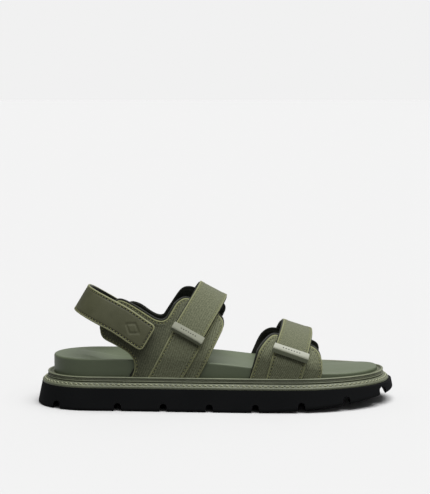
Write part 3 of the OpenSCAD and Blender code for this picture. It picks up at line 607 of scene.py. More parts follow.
# ---- footbed cover ----
# A soft footbed wrapped in fine-grained synthetic leather: an upright wall, a small rolled rim, a
# cupped heel and a level toe. The wrap is one skin, pulled over and glued under the core.
DECK_Z = 22.9
WRAP_T = 1.2
CUP_DEPTH = 5.0
RIM_ROUND = 1.5
FLAT_FROM = 21.0


def rim_height(x, side):
    """Height of the rim above the footbed's underside: full at the heel, thin at the toe, and lower on
    the inner side under the big toe's joint."""
    stations = BED_LENGTH * np.array([-0.4, -0.03, 0.14, 0.37, 0.5])
    outer = smooth_curve(stations, [16.6, 14.8, 10.7, 5.6, 5], x)
    inner = smooth_curve(stations, [16.6, 14.8, 9, 3.1, 5], x)
    return np.where(side == OUT, outer, inner)


def dish_depth(x):
    """Depth of the foot's hollow below the rim, deepest in the heel cup."""
    stations = [HEEL_X, HEEL_X + 38, HEEL_X + 110, HEEL_X + 170, TOE_X - 40, TOE_X]
    return smooth_curve(stations, [0, CUP_DEPTH, 3.4, 2.2, 1.2, 0], x)


def bed_skin(inset):
    """Rings of points from the wall's foot up to the rim and in to the middle line. A ring lies d inside
    the edge, shrunk towards the middle line; it has gone down the share of the hollow that suits d, and
    near the rim it follows a quarter circle. Past FLAT_FROM the skin is level across the footbed. Both
    sides have the same x stations, so that they meet point for point on the middle line."""
    turn = np.linspace(0, 2 * np.pi, 420, endpoint=False)
    x = HEEL_X + BED_LENGTH * (1 - np.cos(turn)) / 2
    p = np.stack([x, np.where(turn < np.pi, bed_edge(x, OUT), bed_edge(x, IN))], -1)
    side = np.where(p[:, 1] < (bed_edge(p[:, 0], OUT) + bed_edge(p[:, 0], IN)) / 2, OUT, IN)
    spine = np.minimum(x, TOE_X - 8)
    mid = (bed_edge(spine, OUT) + bed_edge(spine, IN)) / 2
    rim = rim_height(p[:, 0], side)
    rings = []
    wall = [(0, f, None) for f in (0, 0.02, 0.3, 0.6, 0.9)]
    quarter = np.linspace(0, np.pi / 2, 8)
    roll = [(RIM_ROUND * (1 - math.cos(a)), None, RIM_ROUND * (1 - math.sin(a))) for a in quarter]
    steps = np.concatenate([np.linspace(1.9, 6, 8), np.linspace(7, 21, 15), np.linspace(24, 38, 6)])
    flat = [(d, None, 0.0) for d in steps]
    for d, wall_share, drop in wall + roll + flat:
        d = d + inset
        share = smooth_curve([0.9, 3.6, 8, 14, 21], [0, 0.1, 0.45, 0.82, 1], d - inset)
        if wall_share is not None:
            z = (rim - RIM_ROUND - inset) * wall_share
        else:
            x = p[:, 0] * (1 - 2 * d / BED_LENGTH) / (1 - 2 * min(d, FLAT_FROM) / BED_LENGTH)
            level = (rim_height(x, OUT) + rim_height(x, IN)) / 2
            z = rim + (level - rim - dish_depth(x)) * share - drop - inset
        d = min(d, 38.0)
        rings.append(np.stack([p[:, 0] * (1 - 2 * d / BED_LENGTH), mid + (p[:, 1] - mid) * (1 - d / 38),
                               DECK_Z + np.maximum(z, 0)], -1))
    return rings


# Fine-grained polyurethane leather over foam: grey olive, satin, with a small even pebble.
footbed_skin, tree, shader = start_material("polyurethane_footbed_skin", 0.48)
coordinates = add_node(tree, "TexCoord")
pebble = add_node(tree, "TexVoronoi", {"Vector": coordinates.outputs["Object"], "Scale": 900.0})
cloud = add_node(tree, "TexNoise", {"Vector": coordinates.outputs["Object"], "Scale": 22.0, "Detail": 4.0})
shade = add_node(tree, "ValToRGB", {"Fac": cloud.outputs["Fac"]})
shade.color_ramp.elements[0].position = 0.25
shade.color_ramp.elements[0].color = linear("#525a46")
shade.color_ramp.elements[1].position = 0.75
shade.color_ramp.elements[1].color = linear("#5a624e")
relief = add_node(tree, "Bump", {"Height": pebble.outputs["Distance"], "Strength": 0.18, "Distance": 0.0002})
tree.links.new(shade.outputs["Color"], shader.inputs["Base Color"])
tree.links.new(relief.outputs["Normal"], shader.inputs["Normal"])
shader.inputs["Specular IOR Level"].default_value = 0.28

outer_rings = bed_skin(0.0)
bed_points = np.stack(outer_rings + bed_skin(WRAP_T)[::-1])
bed_faces = grid_faces(*bed_points.shape[:2], wrap_rows=True, wrap_cols=True)[:, ::-1]
around = bed_points.shape[1]
bed_faces = np.delete(bed_faces, slice((len(outer_rings) - 1) * around, len(outer_rings) * around), 0)
footbed = make_piece("footbed_wrap", bed_points.reshape(-1, 3), bed_faces, footbed_skin)
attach(footbed, "sandal")
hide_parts("footbed_cover")

# ---- outer and inner quarters ----
# Canvas side panels that stand up from the sole under the instep strap, each with an arm back to the
# heel strap. Their edges are folded in and stitched down, and their feet are lasted under the footbed.
CANVAS_T = 1.2
LINING_T = 1.2
TAPE_T = 0.7
SEAM = 0.12
WALL_GAP = 0.2
PANEL_OUT = WALL_GAP + LINING_T + CANVAS_T
PANEL_FOOT_Z = 22.3
RAND_TOP_Z = 25.6
HEM_W = 4.3
STITCH_INSET = 2.1
STITCH_PITCH = 2.8
STITCH = 1.75
HOLE_LONG = 1.5
HOLE_WIDE = 1.3
THREAD = 0.62
SOLE = -27.0
DRAWN_IN = 0.5
INSTEP = {"x": HEEL_X + 85, "z": DECK_Z + 17.1, "lean": 31, "slope": 28, "height": 60.5,
          "power": 1.8, "shift": 4}
FOREFOOT = {"x": HEEL_X + 190, "z": DECK_Z + 10.5, "lean": 15, "slope": 18, "height": 24,
            "power": 2, "shift": 2}


def form_xz(form, t, h):
    """X and Z of the foot's form at t along a strap's width and h along its length, both slanted."""
    slope = math.radians(form["slope"])
    lean = math.radians(form["lean"])
    x = form["x"] + t * math.cos(slope) + h * math.sin(lean)
    return x, form["z"] - t * math.sin(slope) + h * math.cos(lean)


def h_at(form, t, z):
    """The h that has the height z at t."""
    return (z - form["z"] + t * math.sin(math.radians(form["slope"]))) / math.cos(math.radians(form["lean"]))


def bend_height(form, t):
    """The h up to which the form stands upright, eased so that it is never negative."""
    x = form_xz(form, t, 0)[0]
    a = h_at(form, t, DECK_Z + rim_height(x, OUT) + 1.2)
    return (a + np.sqrt(a * a + 20)) / 2


def form_point(form, side, t, h):
    """A point of the form: upright below the bend, and a superellipse from there to the ridge."""
    t, h = np.broadcast_arrays(np.asarray(t, float), h)
    bend = bend_height(form, t)
    q = np.clip((h - bend) / (form["height"] - bend), 0, 1)
    x, z = form_xz(form, t, h)
    y = bed_edge(x, side) * (1 - q ** form["power"]) ** (1 / form["power"]) + form["shift"] * q
    return np.stack([x, y, z], -1)


def ease(x):
    """A smooth step from 0 to 1 as x goes from 0 to 1."""
    x = np.clip(x, 0, 1)
    return x * x * (3 - 2 * x)


def on_form(form, side, t, h, off):
    """A point that stands the distance off outside the form, along its normal."""
    p = form_point(form, side, t, h)
    by_t = form_point(form, side, np.asarray(t) + 0.2, h) - p
    by_h = form_point(form, side, t, np.asarray(h) + 0.2) - p
    return p - side * np.asarray(off)[..., None] * unit(np.cross(by_t, by_h))


def spline(points, u):
    """Points on a Catmull-Rom spline through the given ones, at shares u of the way."""
    p = np.asarray(points, float)
    p = np.vstack([p[:1], p, p[-1:]])
    s = u * (len(points) - 1)
    i = np.minimum(s.astype(int), len(points) - 2)
    f = (s - i)[:, None]
    a, b, c, d = p[i], p[i + 1], p[i + 2], p[i + 3]
    return (2 * b + (c - a) * f + (2 * a - 5 * b + 4 * c - d) * f**2 + (3 * b - 3 * c + d - a) * f**3) / 2


def even_line(points, step):
    """The same line with points at even distances."""
    s = np.concatenate([[0], np.cumsum(np.linalg.norm(np.diff(points, axis=0), axis=1))])
    at = np.linspace(0, s[-1], max(2, int(s[-1] / step) + 1))
    return np.stack([np.interp(at, s, points[:, k]) for k in range(points.shape[1])], -1)


def inner_side(line):
    """The normal on the right of a flat line, averaged over its neighbours."""
    along = np.gradient(line, axis=0)
    return unit(np.stack([along[:, 1], -along[:, 0]], -1))


def distance_to(line, t, h):
    """Distance of each (t, h) from a line made of straight pieces."""
    p = np.stack([t.ravel(), h.ravel()], -1)[:, None]
    a = line[:-1][None]
    step = np.diff(line, axis=0)[None]
    f = np.clip(((p - a) * step).sum(-1) / (step**2).sum(-1), 0, 1)
    return np.linalg.norm(p - a - step * f[..., None], axis=-1).min(1).reshape(t.shape)


def panel_curves(form, columns, foot_z, grow, count=1500):
    """A panel's lower and upper edge lines, the part of the lower one that lies above the sole, and its
    free edge from the sole at the rear round to the sole at the front. Where the edge looks up or back
    it is moved outwards by grow, and where it looks forwards or down it is drawn in a little."""
    u = np.linspace(0, 1, count)
    low = spline([c[0] for c in columns], u)
    top = spline([c[1] for c in columns], u)
    foot = h_at(form, low[:, 0], foot_z)
    free = low[:, 1] > foot + 0.4
    free &= np.cumprod(free).astype(bool)
    low[:, 1] = np.maximum(low[:, 1], foot)
    rear = low[free][::-1]
    start = rear[-1] if len(rear) else low[0]
    rim = np.concatenate([rear, start + (top[0] - start) * np.linspace(0, 1, 60)[1:, None], top[1:],
                          top[-1] + (low[-1] - top[-1]) * np.linspace(0, 1, 60)[1:, None]])
    rim = even_line(rim, 0.5)
    if grow:
        outwards = -inner_side(rim)
        share = ease((outwards @ [-0.45, 0.9] + 0.05) / 0.4)
        share = np.convolve(np.pad(share, 8, mode="edge"), np.full(17, 1 / 17), mode="valid")[:, None]
        moved = rim + outwards * (share * grow - (1 - share) * DRAWN_IN)
        index = distance_index(rim, np.concatenate([low, top]))
        shift = (moved - rim)[index]
        low = low + shift[:count] * np.stack([np.ones(count), free], -1)
        top = top + shift[count:]
        rim = moved
    return low, top, free, rim


def distance_index(line, points):
    """Which point of a line lies nearest to each given point."""
    return np.concatenate([
        np.linalg.norm(part[:, None] - line[None], axis=-1).argmin(1) for part in np.array_split(points, 8)])


def panel_grid(form, columns, foot_z, grow=0.0, across=112, up=54):
    """(t, h) and the distance from the free edge over a panel, with lines packed near its edges."""
    low, top, free, rim = panel_curves(form, columns, foot_z, grow)
    s = np.concatenate([[0], np.cumsum(np.linalg.norm(np.diff(top, axis=0), axis=1))])
    at = np.interp(s[-1] * (0.5 - 0.5 * np.cos(np.linspace(0, np.pi, across))), s, np.arange(len(s)))
    index = np.arange(len(s))
    at_low = np.stack([np.interp(at, index, low[:, k]) for k in (0, 1)], -1)
    at_top = np.stack([np.interp(at, index, top[:, k]) for k in (0, 1)], -1)
    share = (0.5 - 0.5 * np.cos(np.linspace(0, np.pi, up)))[None, :, None]
    grid = at_low[:, None] + (at_top - at_low)[:, None] * share
    t, h = grid[..., 0], grid[..., 1]
    d = distance_to(rim, t, h)
    d[:, -1] = 0
    d[0, :] = 0
    d[-1, :] = 0
    d[:, 0] = np.where(np.interp(at, index, free) > 0.5, 0, d[:, 0])
    return t, h, d, rim


def roll(d, half):
    """Share of the full thickness at the distance d from a folded edge: a half circle, 0 at the edge."""
    return np.sqrt(1 - (1 - np.clip(d / half, 0, 1)) ** 2)


def hem_relief(d):
    """Height of a stitched hem: a second layer inside HEM_W, pulled down along the stitch row."""
    return 0.3 * ease((HEM_W - d) / 0.8) - 0.42 * np.exp(-((d - STITCH_INSET) / 0.5) ** 2)


def slab(name, outer, inner, material, uv, edge_mm, flip):
    """A closed thin piece between two grids of points: both faces, and the four borders."""
    rows, cols = outer.shape[:2]
    size = rows * cols
    index = np.arange(size).reshape(rows, cols)
    rim = np.concatenate([index[:, 0], index[-1, 1:], index[-2::-1, -1], index[0, -2:0:-1]])
    ahead = np.roll(rim, -1)
    faces = np.concatenate([grid_faces(rows, cols), grid_faces(rows, cols, start=size)[:, ::-1],
                            np.stack([ahead, rim, rim + size, ahead + size], -1)])
    if flip:
        faces = faces[:, ::-1]
    points = np.concatenate([outer.reshape(-1, 3), inner.reshape(-1, 3)])
    uv = np.tile(uv.reshape(-1, 2), (2, 1))
    return make_piece(name, points, faces, material, uv, np.tile(edge_mm.reshape(-1), 2))


WORN = "#80825b"


def canvas_material(name, deep, pale, arm_shade_share=1.0):
    """Waxed cotton canvas in a steep twill, dyed olive. The ribs are drawn about 1.3 mm apart, twice as
    coarse as the real ones, so that they show; crossing threads break them up, slubs and dye make soft
    patches, and the folded edge is paler, where the wax has rubbed off. Where an arm reaches back, the
    cloth is darkened by painted shade, down to the given share at the arm's end."""
    material, tree, shader = start_material(name, 0.88)
    uv = add_node(tree, "UVMap", uv_map="cloth_mm")
    wander = add_node(tree, "TexNoise", {"Vector": uv.outputs["UV"], "Scale": 25.0, "Detail": 2.0})
    ribs = add_node(tree, "TexWave", {"Vector": uv.outputs["UV"], "Scale": 34.0, "Distortion": 1.6,
                                      "Detail": 2.0, "Detail Scale": 3.0},
                    wave_type="BANDS", bands_direction="DIAGONAL")
    cross = add_node(tree, "TexWave", {"Vector": uv.outputs["UV"], "Scale": 42.0, "Distortion": 1.2,
                                       "Detail": 2.0, "Detail Scale": 4.0},
                     wave_type="BANDS", bands_direction="X")
    slub = add_node(tree, "TexNoise",
                    {"Vector": uv.outputs["UV"], "Scale": 75.0, "Detail": 5.0, "Roughness": 0.7})
    weave = add_node(tree, "Math", {0: ribs.outputs["Fac"], 1: cross.outputs["Fac"]}, operation="ADD")
    mottled = add_node(tree, "Math", {0: slub.outputs["Fac"], 1: 1.5, 2: -0.5}, operation="MULTIPLY_ADD")
    tone = add_node(tree, "Math", {0: weave.outputs[0], 1: 0.36, 2: mottled.outputs[0]},
                    operation="MULTIPLY_ADD")
    shade = add_node(tree, "ValToRGB", {"Fac": tone.outputs[0]})
    shade.color_ramp.elements[0].position = 0.3
    shade.color_ramp.elements[0].color = linear(deep)
    shade.color_ramp.elements[1].position = 0.95
    shade.color_ramp.elements[1].color = linear(pale)
    # Painted shade: the cloth darkens towards the arm's rear end, from t = 5 mm back to t = -9 mm.
    apart = add_node(tree, "SeparateXYZ", {"Vector": uv.outputs["UV"]})
    wax = add_node(tree, "MapRange", {"Value": apart.outputs["X"], "From Min": -0.09, "From Max": 0.05,
                                      "To Min": arm_shade_share, "To Max": 1.0})
    waxed = add_node(tree, "Mix", {0: 1.0, 6: shade.outputs["Color"], 7: wax.outputs[0]},
                     data_type="RGBA", blend_type="MULTIPLY")
    near = add_node(tree, "Attribute", attribute_name="edge_mm")
    worn = add_node(tree, "MapRange", {"Value": near.outputs["Fac"], "From Min": 0.75, "From Max": 1.25,
                                       "To Min": 1.0, "To Max": 0.0})
    fading = add_node(tree, "Math", {0: wander.outputs["Fac"], 1: 0.8, 2: 0.35}, operation="MULTIPLY_ADD")
    patchy = add_node(tree, "Math", {0: worn.outputs[0], 1: fading.outputs[0]},
                      operation="MULTIPLY", use_clamp=True)
    paint = add_node(tree, "Mix", {0: patchy.outputs[0], 6: waxed.outputs[2], 7: linear(WORN)},
                     data_type="RGBA")
    relief = add_node(tree, "Bump", {"Height": tone.outputs[0], "Strength": 0.55, "Distance": 0.0004})
    tree.links.new(paint.outputs[2], shader.inputs["Base Color"])
    tree.links.new(relief.outputs["Normal"], shader.inputs["Normal"])
    shader.inputs["Sheen Weight"].default_value = 0.15
    shader.inputs["Specular IOR Level"].default_value = 0.25
    return material


canvas = canvas_material("waxed_cotton_canvas", "#3f422f", "#74775f")
# The quarters' canvas, with painted shade on the arms that reach back.
arm_shaded_canvas = canvas_material("waxed_cotton_canvas_arm_shade", "#3f422f", "#74775f", arm_shade_share=0.6)

# Bonded nylon in yellow olive, finer than the welt's thread.
thread_olive, tree, shader = start_material("bonded_nylon_thread", 0.55)
coordinates = add_node(tree, "TexCoord")
twist = add_node(tree, "TexWave", {"Vector": coordinates.outputs["Object"], "Scale": 700.0},
                 wave_type="BANDS", bands_direction="DIAGONAL")
shade = add_node(tree, "ValToRGB", {"Fac": twist.outputs["Fac"]})
shade.color_ramp.elements[0].color = linear("#5f6037")
shade.color_ramp.elements[1].color = linear("#81824b")
tree.links.new(shade.outputs["Color"], shader.inputs["Base Color"])


def sewn_row(name, line, normals, hold):
    """A row of stitches, with dark discs of painted shade at its needle holes; hold fixes each of them to a
    body.
    """
    steps = max(1, int(np.linalg.norm(np.diff(line, axis=0), axis=1).sum() / STITCH_PITCH))
    row = stitches(name + "_stitches", line, normals, STITCH_PITCH, STITCH, THREAD, thread_olive, 0.3)
    holes = dimples(name + "_holes", line, normals, steps + 1, HOLE_LONG, HOLE_WIDE, hole_shade)
    for piece in (row, holes):
        hold(piece)


def on_sandal(piece):
    """Fixes a piece to the sandal's own body."""
    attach(piece, "sandal")


def canvas_panel(name, form, side, columns, node, top_off, foot_z, cloth=canvas):
    """A hemmed canvas panel whose face stands top_off outside the form, and the row along its hem."""
    t, h, d, rim = panel_grid(form, columns, foot_z)
    half = CANVAS_T / 2
    thick = roll(d, 0.75)
    middle = top_off - half
    outer = on_form(form, side, t, h, middle + (half + hem_relief(d)) * thick)
    inner = on_form(form, side, t, h, middle - half * thick)
    panel = slab(name, outer, inner, cloth, np.stack([t, h], -1), d, flip=side == IN)
    on_sandal(panel)
    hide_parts(node)
    seam = rim + inner_side(rim) * STITCH_INSET
    clear = distance_to(rim, seam[:, 0], seam[:, 1]) > STITCH_INSET - 0.12
    z = form_xz(form, seam[:, 0], seam[:, 1])[1]
    seam = even_line(seam[clear & (z > RAND_TOP_Z)], 0.5)
    depth = top_off + hem_relief(np.array([STITCH_INSET]))[0]
    line = on_form(form, side, seam[:, 0], seam[:, 1], np.full(len(seam), depth))
    above = on_form(form, side, seam[:, 0], seam[:, 1], np.full(len(seam), depth + 1))
    sewn_row(name, line, above - line, on_sandal)


def quarter_columns(back, top, low, lobe, front):
    """The quarter's outline as pairs of a lower and an upper point: the arm's rounded rear end, its
    upper and lower edges, the rise to the lobe, and the lobe's rounded front."""
    front_of_arm = -17
    middle = (back + front_of_arm) / 2
    return [
        [[back, low + 10], [back, top - 7]], [[back + 1.5, low + 4.5], [back + 1.8, top - 2]],
        [[back + 7, low], [back + 7, top - 0.3]], [[middle, low - 0.3], [middle, top - 0.4]],
        [[-23.5, low - 0.7], [-23, top - 1.2]], [[front_of_arm, low - 3], [-16.5, top - 1.3]],
        [[-13, low - 7], [-11.4, top + 0.5]], [[-11, low - 11], [-8.9, top + 5]],
        [[-10.2, low - 15], [-9, top + 13]], [[-9.6, SOLE], [-8.6, lobe - 6.5]],
        [[-3, SOLE], [-5, lobe - 1.4]], [[4, SOLE], [2, lobe]],
        [[14, SOLE], [13, lobe]], [[25, SOLE], [26 + front / 2, lobe - 0.8]],
        [[33, SOLE], [31.6 + front, lobe - 3.8]], [[36, SOLE], [33.6 + front, lobe - 8.5]]]


outer_quarter_shape = quarter_columns(-52, 27.4, -5.4, INSTEP["height"] - 9.3, 0)
inner_quarter_shape = quarter_columns(-40.5, 22.4, -9, INSTEP["height"] - 3.5, -1.8)
canvas_panel("outer_quarter_canvas", INSTEP, OUT, outer_quarter_shape, "outer_quarter", PANEL_OUT,
             PANEL_FOOT_Z, arm_shaded_canvas)
canvas_panel("inner_quarter_canvas", INSTEP, IN, inner_quarter_shape, "inner_quarter", PANEL_OUT,
             PANEL_FOOT_Z, arm_shaded_canvas)

# ---- outer and inner vamps ----
# The same canvas at the ball of the foot: one low rounded lobe on each side, under the forefoot strap.
VAMP_SOLE = -20.0
outer_vamp_shape = [
    [[-28.5, VAMP_SOLE], [-27.2, 5]], [[-27.5, VAMP_SOLE], [-25, 10.5]], [[-22, VAMP_SOLE], [-21, 16]],
    [[-14, VAMP_SOLE], [-15.5, 18.5]], [[0, VAMP_SOLE], [0, 18.9]], [[12, VAMP_SOLE], [13.5, 18.4]],
    [[20, VAMP_SOLE], [19.6, 16.2]], [[24.2, VAMP_SOLE], [23.4, 11.5]], [[25.2, VAMP_SOLE], [25.4, 4]]]
inner_vamp_shape = [
    [[-27, VAMP_SOLE], [-23.6, 2]], [[-26, VAMP_SOLE], [-21.8, 8.5]], [[-20, VAMP_SOLE], [-18, 13.6]],
    [[-12, VAMP_SOLE], [-12, 15.6]], [[0, VAMP_SOLE], [0, 15.8]], [[12, VAMP_SOLE], [14, 15]],
    [[22, VAMP_SOLE], [23, 13.6]], [[25.6, VAMP_SOLE], [26.8, 9.6]], [[26.6, VAMP_SOLE], [28, 4.5]]]
canvas_panel("outer_vamp_canvas", FOREFOOT, OUT, outer_vamp_shape, "outer_vamp", PANEL_OUT, PANEL_FOOT_Z)
canvas_panel("inner_vamp_canvas", FOREFOOT, IN, inner_vamp_shape, "inner_vamp", PANEL_OUT, PANEL_FOOT_Z)

# ---- padded linings ----
# Black knitted linings over thin foam, glued behind the panels. They stand a little beyond the canvas
# and make a soft rolled edge against the foot.
LINING_PROUD = 1.9
LINING_ROLL = 2.4

# Polyester spacer knit: black, matt, faintly fuzzy, in a fine honeycomb that is drawn twice life size.
lining_knit, tree, shader = start_material("polyester_spacer_knit", 0.92)
uv = add_node(tree, "UVMap", uv_map="cloth_mm")
comb = add_node(tree, "TexVoronoi", {"Vector": uv.outputs["UV"], "Scale": 90.0, "Randomness": 0.25})
lint = add_node(tree, "TexNoise", {"Vector": uv.outputs["UV"], "Scale": 40.0, "Detail": 4.0})
shade = add_node(tree, "ValToRGB", {"Fac": lint.outputs["Fac"]})
shade.color_ramp.elements[0].color = linear("#10120d")
shade.color_ramp.elements[1].color = linear("#21241b")
relief = add_node(tree, "Bump", {"Height": comb.outputs["Distance"], "Strength": 0.5, "Distance": 0.0005})
tree.links.new(shade.outputs["Color"], shader.inputs["Base Color"])
tree.links.new(relief.outputs["Normal"], shader.inputs["Normal"])
shader.inputs["Sheen Weight"].default_value = 0.25
shader.inputs["Specular IOR Level"].default_value = 0.2

for name, form, side, columns in (
    ("outer_quarter_lining", INSTEP, OUT, outer_quarter_shape),
    ("inner_quarter_lining", INSTEP, IN, inner_quarter_shape),
    ("outer_vamp_lining", FOREFOOT, OUT, outer_vamp_shape),
    ("inner_vamp_lining", FOREFOOT, IN, inner_vamp_shape),
):
    t, h, d, rim = panel_grid(form, columns, PANEL_FOOT_Z, grow=LINING_PROUD)
    above_rim = ease((h - bend_height(form, t)) / 6)
    puff = np.exp(-((d - LINING_ROLL / 2) / 1.1) ** 2)
    outward = LINING_T + WALL_GAP - 0.06 + 0.75 * puff * ease((LINING_PROUD - d) / 0.7 + 1)
    inward = WALL_GAP - 0.55 * puff * above_rim - 0.25 * above_rim
    middle = (outward + inward) / 2
    thick = roll(d, LINING_ROLL / 2)
    lining = slab(name + "_pad", on_form(form, side, t, h, middle + (outward - middle) * thick),
                  on_form(form, side, t, h, middle - (middle - inward) * thick), lining_knit,
                  np.stack([t, h], -1), d, flip=side == IN)
    on_sandal(lining)
    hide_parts(name)

# ---- outer strips ----
# A second layer of canvas sewn over each outer panel, from the rand up under the strap. It carries the
# loop tape that the strap closes on.
STRIP_HALF = 13.5
STRIP_FOOT_Z = 25.0
STRIP_OUT = PANEL_OUT + SEAM + CANVAS_T
for name, form, middle, taper, top, node in (
    ("instep_strip", INSTEP, 11.8, 3.2, 50.5, "outer_instep_overlay"),
    ("forefoot_strip", FOREFOOT, -2.5, 0.0, 16.3, "outer_vamp_overlay"),
):
    strip_shape = [[[middle + STRIP_HALF * w + taper * (1 - w) / 2, SOLE], [middle + STRIP_HALF * w, top]]
                   for w in np.linspace(-1, 1, 5)]
    canvas_panel(name + "_canvas", form, OUT, strip_shape, node, STRIP_OUT, STRIP_FOOT_Z)

# ---- instep and forefoot straps ----
# One band of doubled canvas each, sewn down on the inner side of the foot, carried over it and closed
# on the outer side. It bends at the hinge line where its sewn part ends.
STRAP_W = 24.6
LOOP_OUT = STRIP_OUT + SEAM + TAPE_T
HOOK_IN = LOOP_OUT + 0.3
STRAP_LINING_IN = HOOK_IN + TAPE_T + SEAM
STRAP_IN = STRAP_LINING_IN + 0.75 * LINING_T
STRAP_OUT = STRAP_IN + CANVAS_T
STRAP_DROP = 2.96
SETTLE = 0.95
TIP_W = 4.2
LIP = 2.0
straps = (
    {"name": "instep_strap", "form": INSTEP, "middle": 12.1, "end": 24 + LIP, "hinge": 45.5,
     "skew": 0.3, "flare": 1.2, "tape": 23.0, "tip": 4.2},
    {"name": "forefoot_strap", "form": FOREFOOT, "middle": 0.0, "end": 6.3 + LIP, "hinge": 15.5,
     "skew": 2.5, "flare": 2.3, "tape": 7.0, "tip": 2.3},
)


def angle_at(form, side, t, h):
    """Angle round the form of (t, h): 0 on the outer side, 90 on the ridge and 180 on the inner side."""
    bend = bend_height(form, t)
    q = np.clip((h - bend) / (form["height"] - bend), 0, 1)
    a = np.degrees(np.arcsin(q ** (form["power"] / 2)))
    return a if side == OUT else 180 - a


def round_form(form, t, a, below):
    """A point of the form at the angle a, and then the distance below down its upright inner side."""
    t, a, below = np.broadcast_arrays(np.asarray(t, float), a, below)
    turn = np.radians(a)
    q = np.clip(np.sin(turn), 0, 1) ** (2 / form["power"])
    bend = bend_height(form, t)
    x, z = form_xz(form, t, bend + (form["height"] - bend) * q - below)
    edge = np.where(a < 90, bed_edge(x, OUT), bed_edge(x, IN))
    return np.stack([x, edge * np.abs(np.cos(turn)) ** (2 / form["power"]) + form["shift"] * q, z], -1)


def strap_t(strap, f, a, inset=0.0):
    """t of the strap's grid line f, from 0 at its rear edge to 1 at its front edge, at the angle a: towards
    its free end the strap swings back by its skew, and its rear edge widens by its flare."""
    swing = np.where(np.asarray(a) < 90, np.clip(1 - np.sin(np.radians(a)), 0, 1) ** 0.7, 0)
    back = (strap["skew"] + strap["flare"] * (1 - f)) * swing
    return strap["middle"] + (STRAP_W - 2 * inset) * (f - 0.5) - back


def strap_point(strap, t, a, below, off):
    """A point of the strap at the distance off, less what it comes down by on the inner side: first as
    the tapes end, and again past the hinge, where its lining ends. Returns the point and the normal."""
    form = strap["form"]
    t, a, below = np.broadcast_arrays(np.asarray(t, float), a, below)
    hinge_a = angle_at(form, IN, strap["middle"], strap["hinge"])
    off = off - STRAP_DROP * ease((a - 60) / 70) - SETTLE * ease((a - hinge_a - 8) / 14)
    p = round_form(form, t, a, below)
    low = a > 179
    by_t = round_form(form, t + 0.2, a, below) - p
    onward = round_form(form, t, np.where(low, a, a + 0.4), np.where(low, below + 0.3, below)) - p
    normal = unit(np.cross(by_t, onward))
    return p + normal * np.asarray(off)[..., None], normal


def strap_rows(strap, f, last_a, foot_z):
    """(t, a, below) along a strap from its free end over the ridge to the angle last_a and, if that is
    180, on down the inner side to the height foot_z."""
    form = strap["form"]
    first = angle_at(form, OUT, strap["middle"], strap["end"])
    first = angle_at(form, OUT, strap_t(strap, f, first), strap["end"])[None]
    a = first + (last_a - first) * np.linspace(0, 1, 130)[:, None]
    t = strap_t(strap, f[None], a)
    below = np.zeros_like(a)
    if last_a == 180:
        drop = bend_height(form, t[-1]) - h_at(form, t[-1], foot_z)
        down = drop[None] * np.linspace(0, 1, 30)[1:, None]
        t = np.concatenate([t, np.repeat(t[-1:], len(down), 0)])
        a = np.concatenate([a, np.full_like(down, 180.0)])
        below = np.concatenate([below, down])
    return t, a, below


def arc(points, axis):
    """Length along one axis of a grid of points, from its first line."""
    steps = np.linalg.norm(np.diff(points, axis=axis), axis=-1)
    first = np.zeros_like(np.take(steps, [0], axis))
    return np.cumsum(np.concatenate([first, steps], axis), axis)


def blended():
    """A hold that bakes a piece's placement into its mesh."""
    return lambda piece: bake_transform(piece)


for strap in straps:
    form = strap["form"]
    hinge_a = angle_at(form, IN, strap["middle"], strap["hinge"])
    near = strap_point(strap, strap["middle"], hinge_a + np.array([4.0, 0.0, -4.0]), 0.0, STRAP_IN)[0]
    joint = next(j for j in frame["joints"] if j["child"] == strap["name"])
    axis = unit(np.array(joint["axis"]))
    upward = unit(near[2] - near[0])
    upward = unit(upward - axis * (upward @ axis))
    hold = blended()
    strap["hold"] = hold

    across = 0.5 - 0.5 * np.cos(np.linspace(0, np.pi, 30))
    t, a, below = strap_rows(strap, across, 180, STRIP_FOOT_Z)
    base = strap_point(strap, t, a, below, STRAP_OUT)[0]
    s = arc(base, 0)
    w = arc(base, 1)
    d = np.minimum(w, w[:, -1:] - w)
    half = CANVAS_T / 2
    thick = roll(d, 0.75)
    top = strap_point(strap, t, a, below, STRAP_OUT - half + (half + hem_relief(d)) * thick)[0]
    under = strap_point(strap, t, a, below, STRAP_OUT - half - half * thick)[0]
    band = slab(strap["name"] + "_canvas", top, under, canvas, np.stack([w, s], -1), d, flip=True)
    hold(band)
    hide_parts(strap["name"], strap["name"] + "_base")

    for edge, f in (("rear", STITCH_INSET / STRAP_W), ("front", 1 - STITCH_INSET / STRAP_W)):
        t, a, below = strap_rows(strap, np.array([f]), 180, RAND_TOP_Z + 0.6)
        line, normal = strap_point(strap, t, a, below, STRAP_OUT + hem_relief(np.array(STITCH_INSET)))
        shown = arc(line, 0)[:, 0] > TIP_W + 0.6
        sewn_row(strap["name"] + "_" + edge, line[shown, 0], normal[shown, 0], hold)

    # The strap's black lining, which stops just past the hinge line.
    t, a, below = strap_rows(strap, -0.03 + 1.05 * across, hinge_a + 7, 0)
    base = strap_point(strap, t, a, below, STRAP_IN)[0]
    w = arc(base, 1)
    s = arc(base, 0)
    d = np.minimum(np.minimum(w, w[:, -1:] - w), np.minimum(s, s[-1:] - s))
    half = 0.375 * LINING_T
    thick = roll(d, half)
    top = strap_point(strap, t, a, below, STRAP_IN - 0.03 - half + half * thick)[0]
    under = strap_point(strap, t, a, below, STRAP_IN - half - half * thick)[0]
    lining = slab(strap["name"] + "_lining_knit", top, under, lining_knit, np.stack([w, s], -1), d, flip=True)
    hold(lining)
    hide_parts(strap["name"] + "_lining")

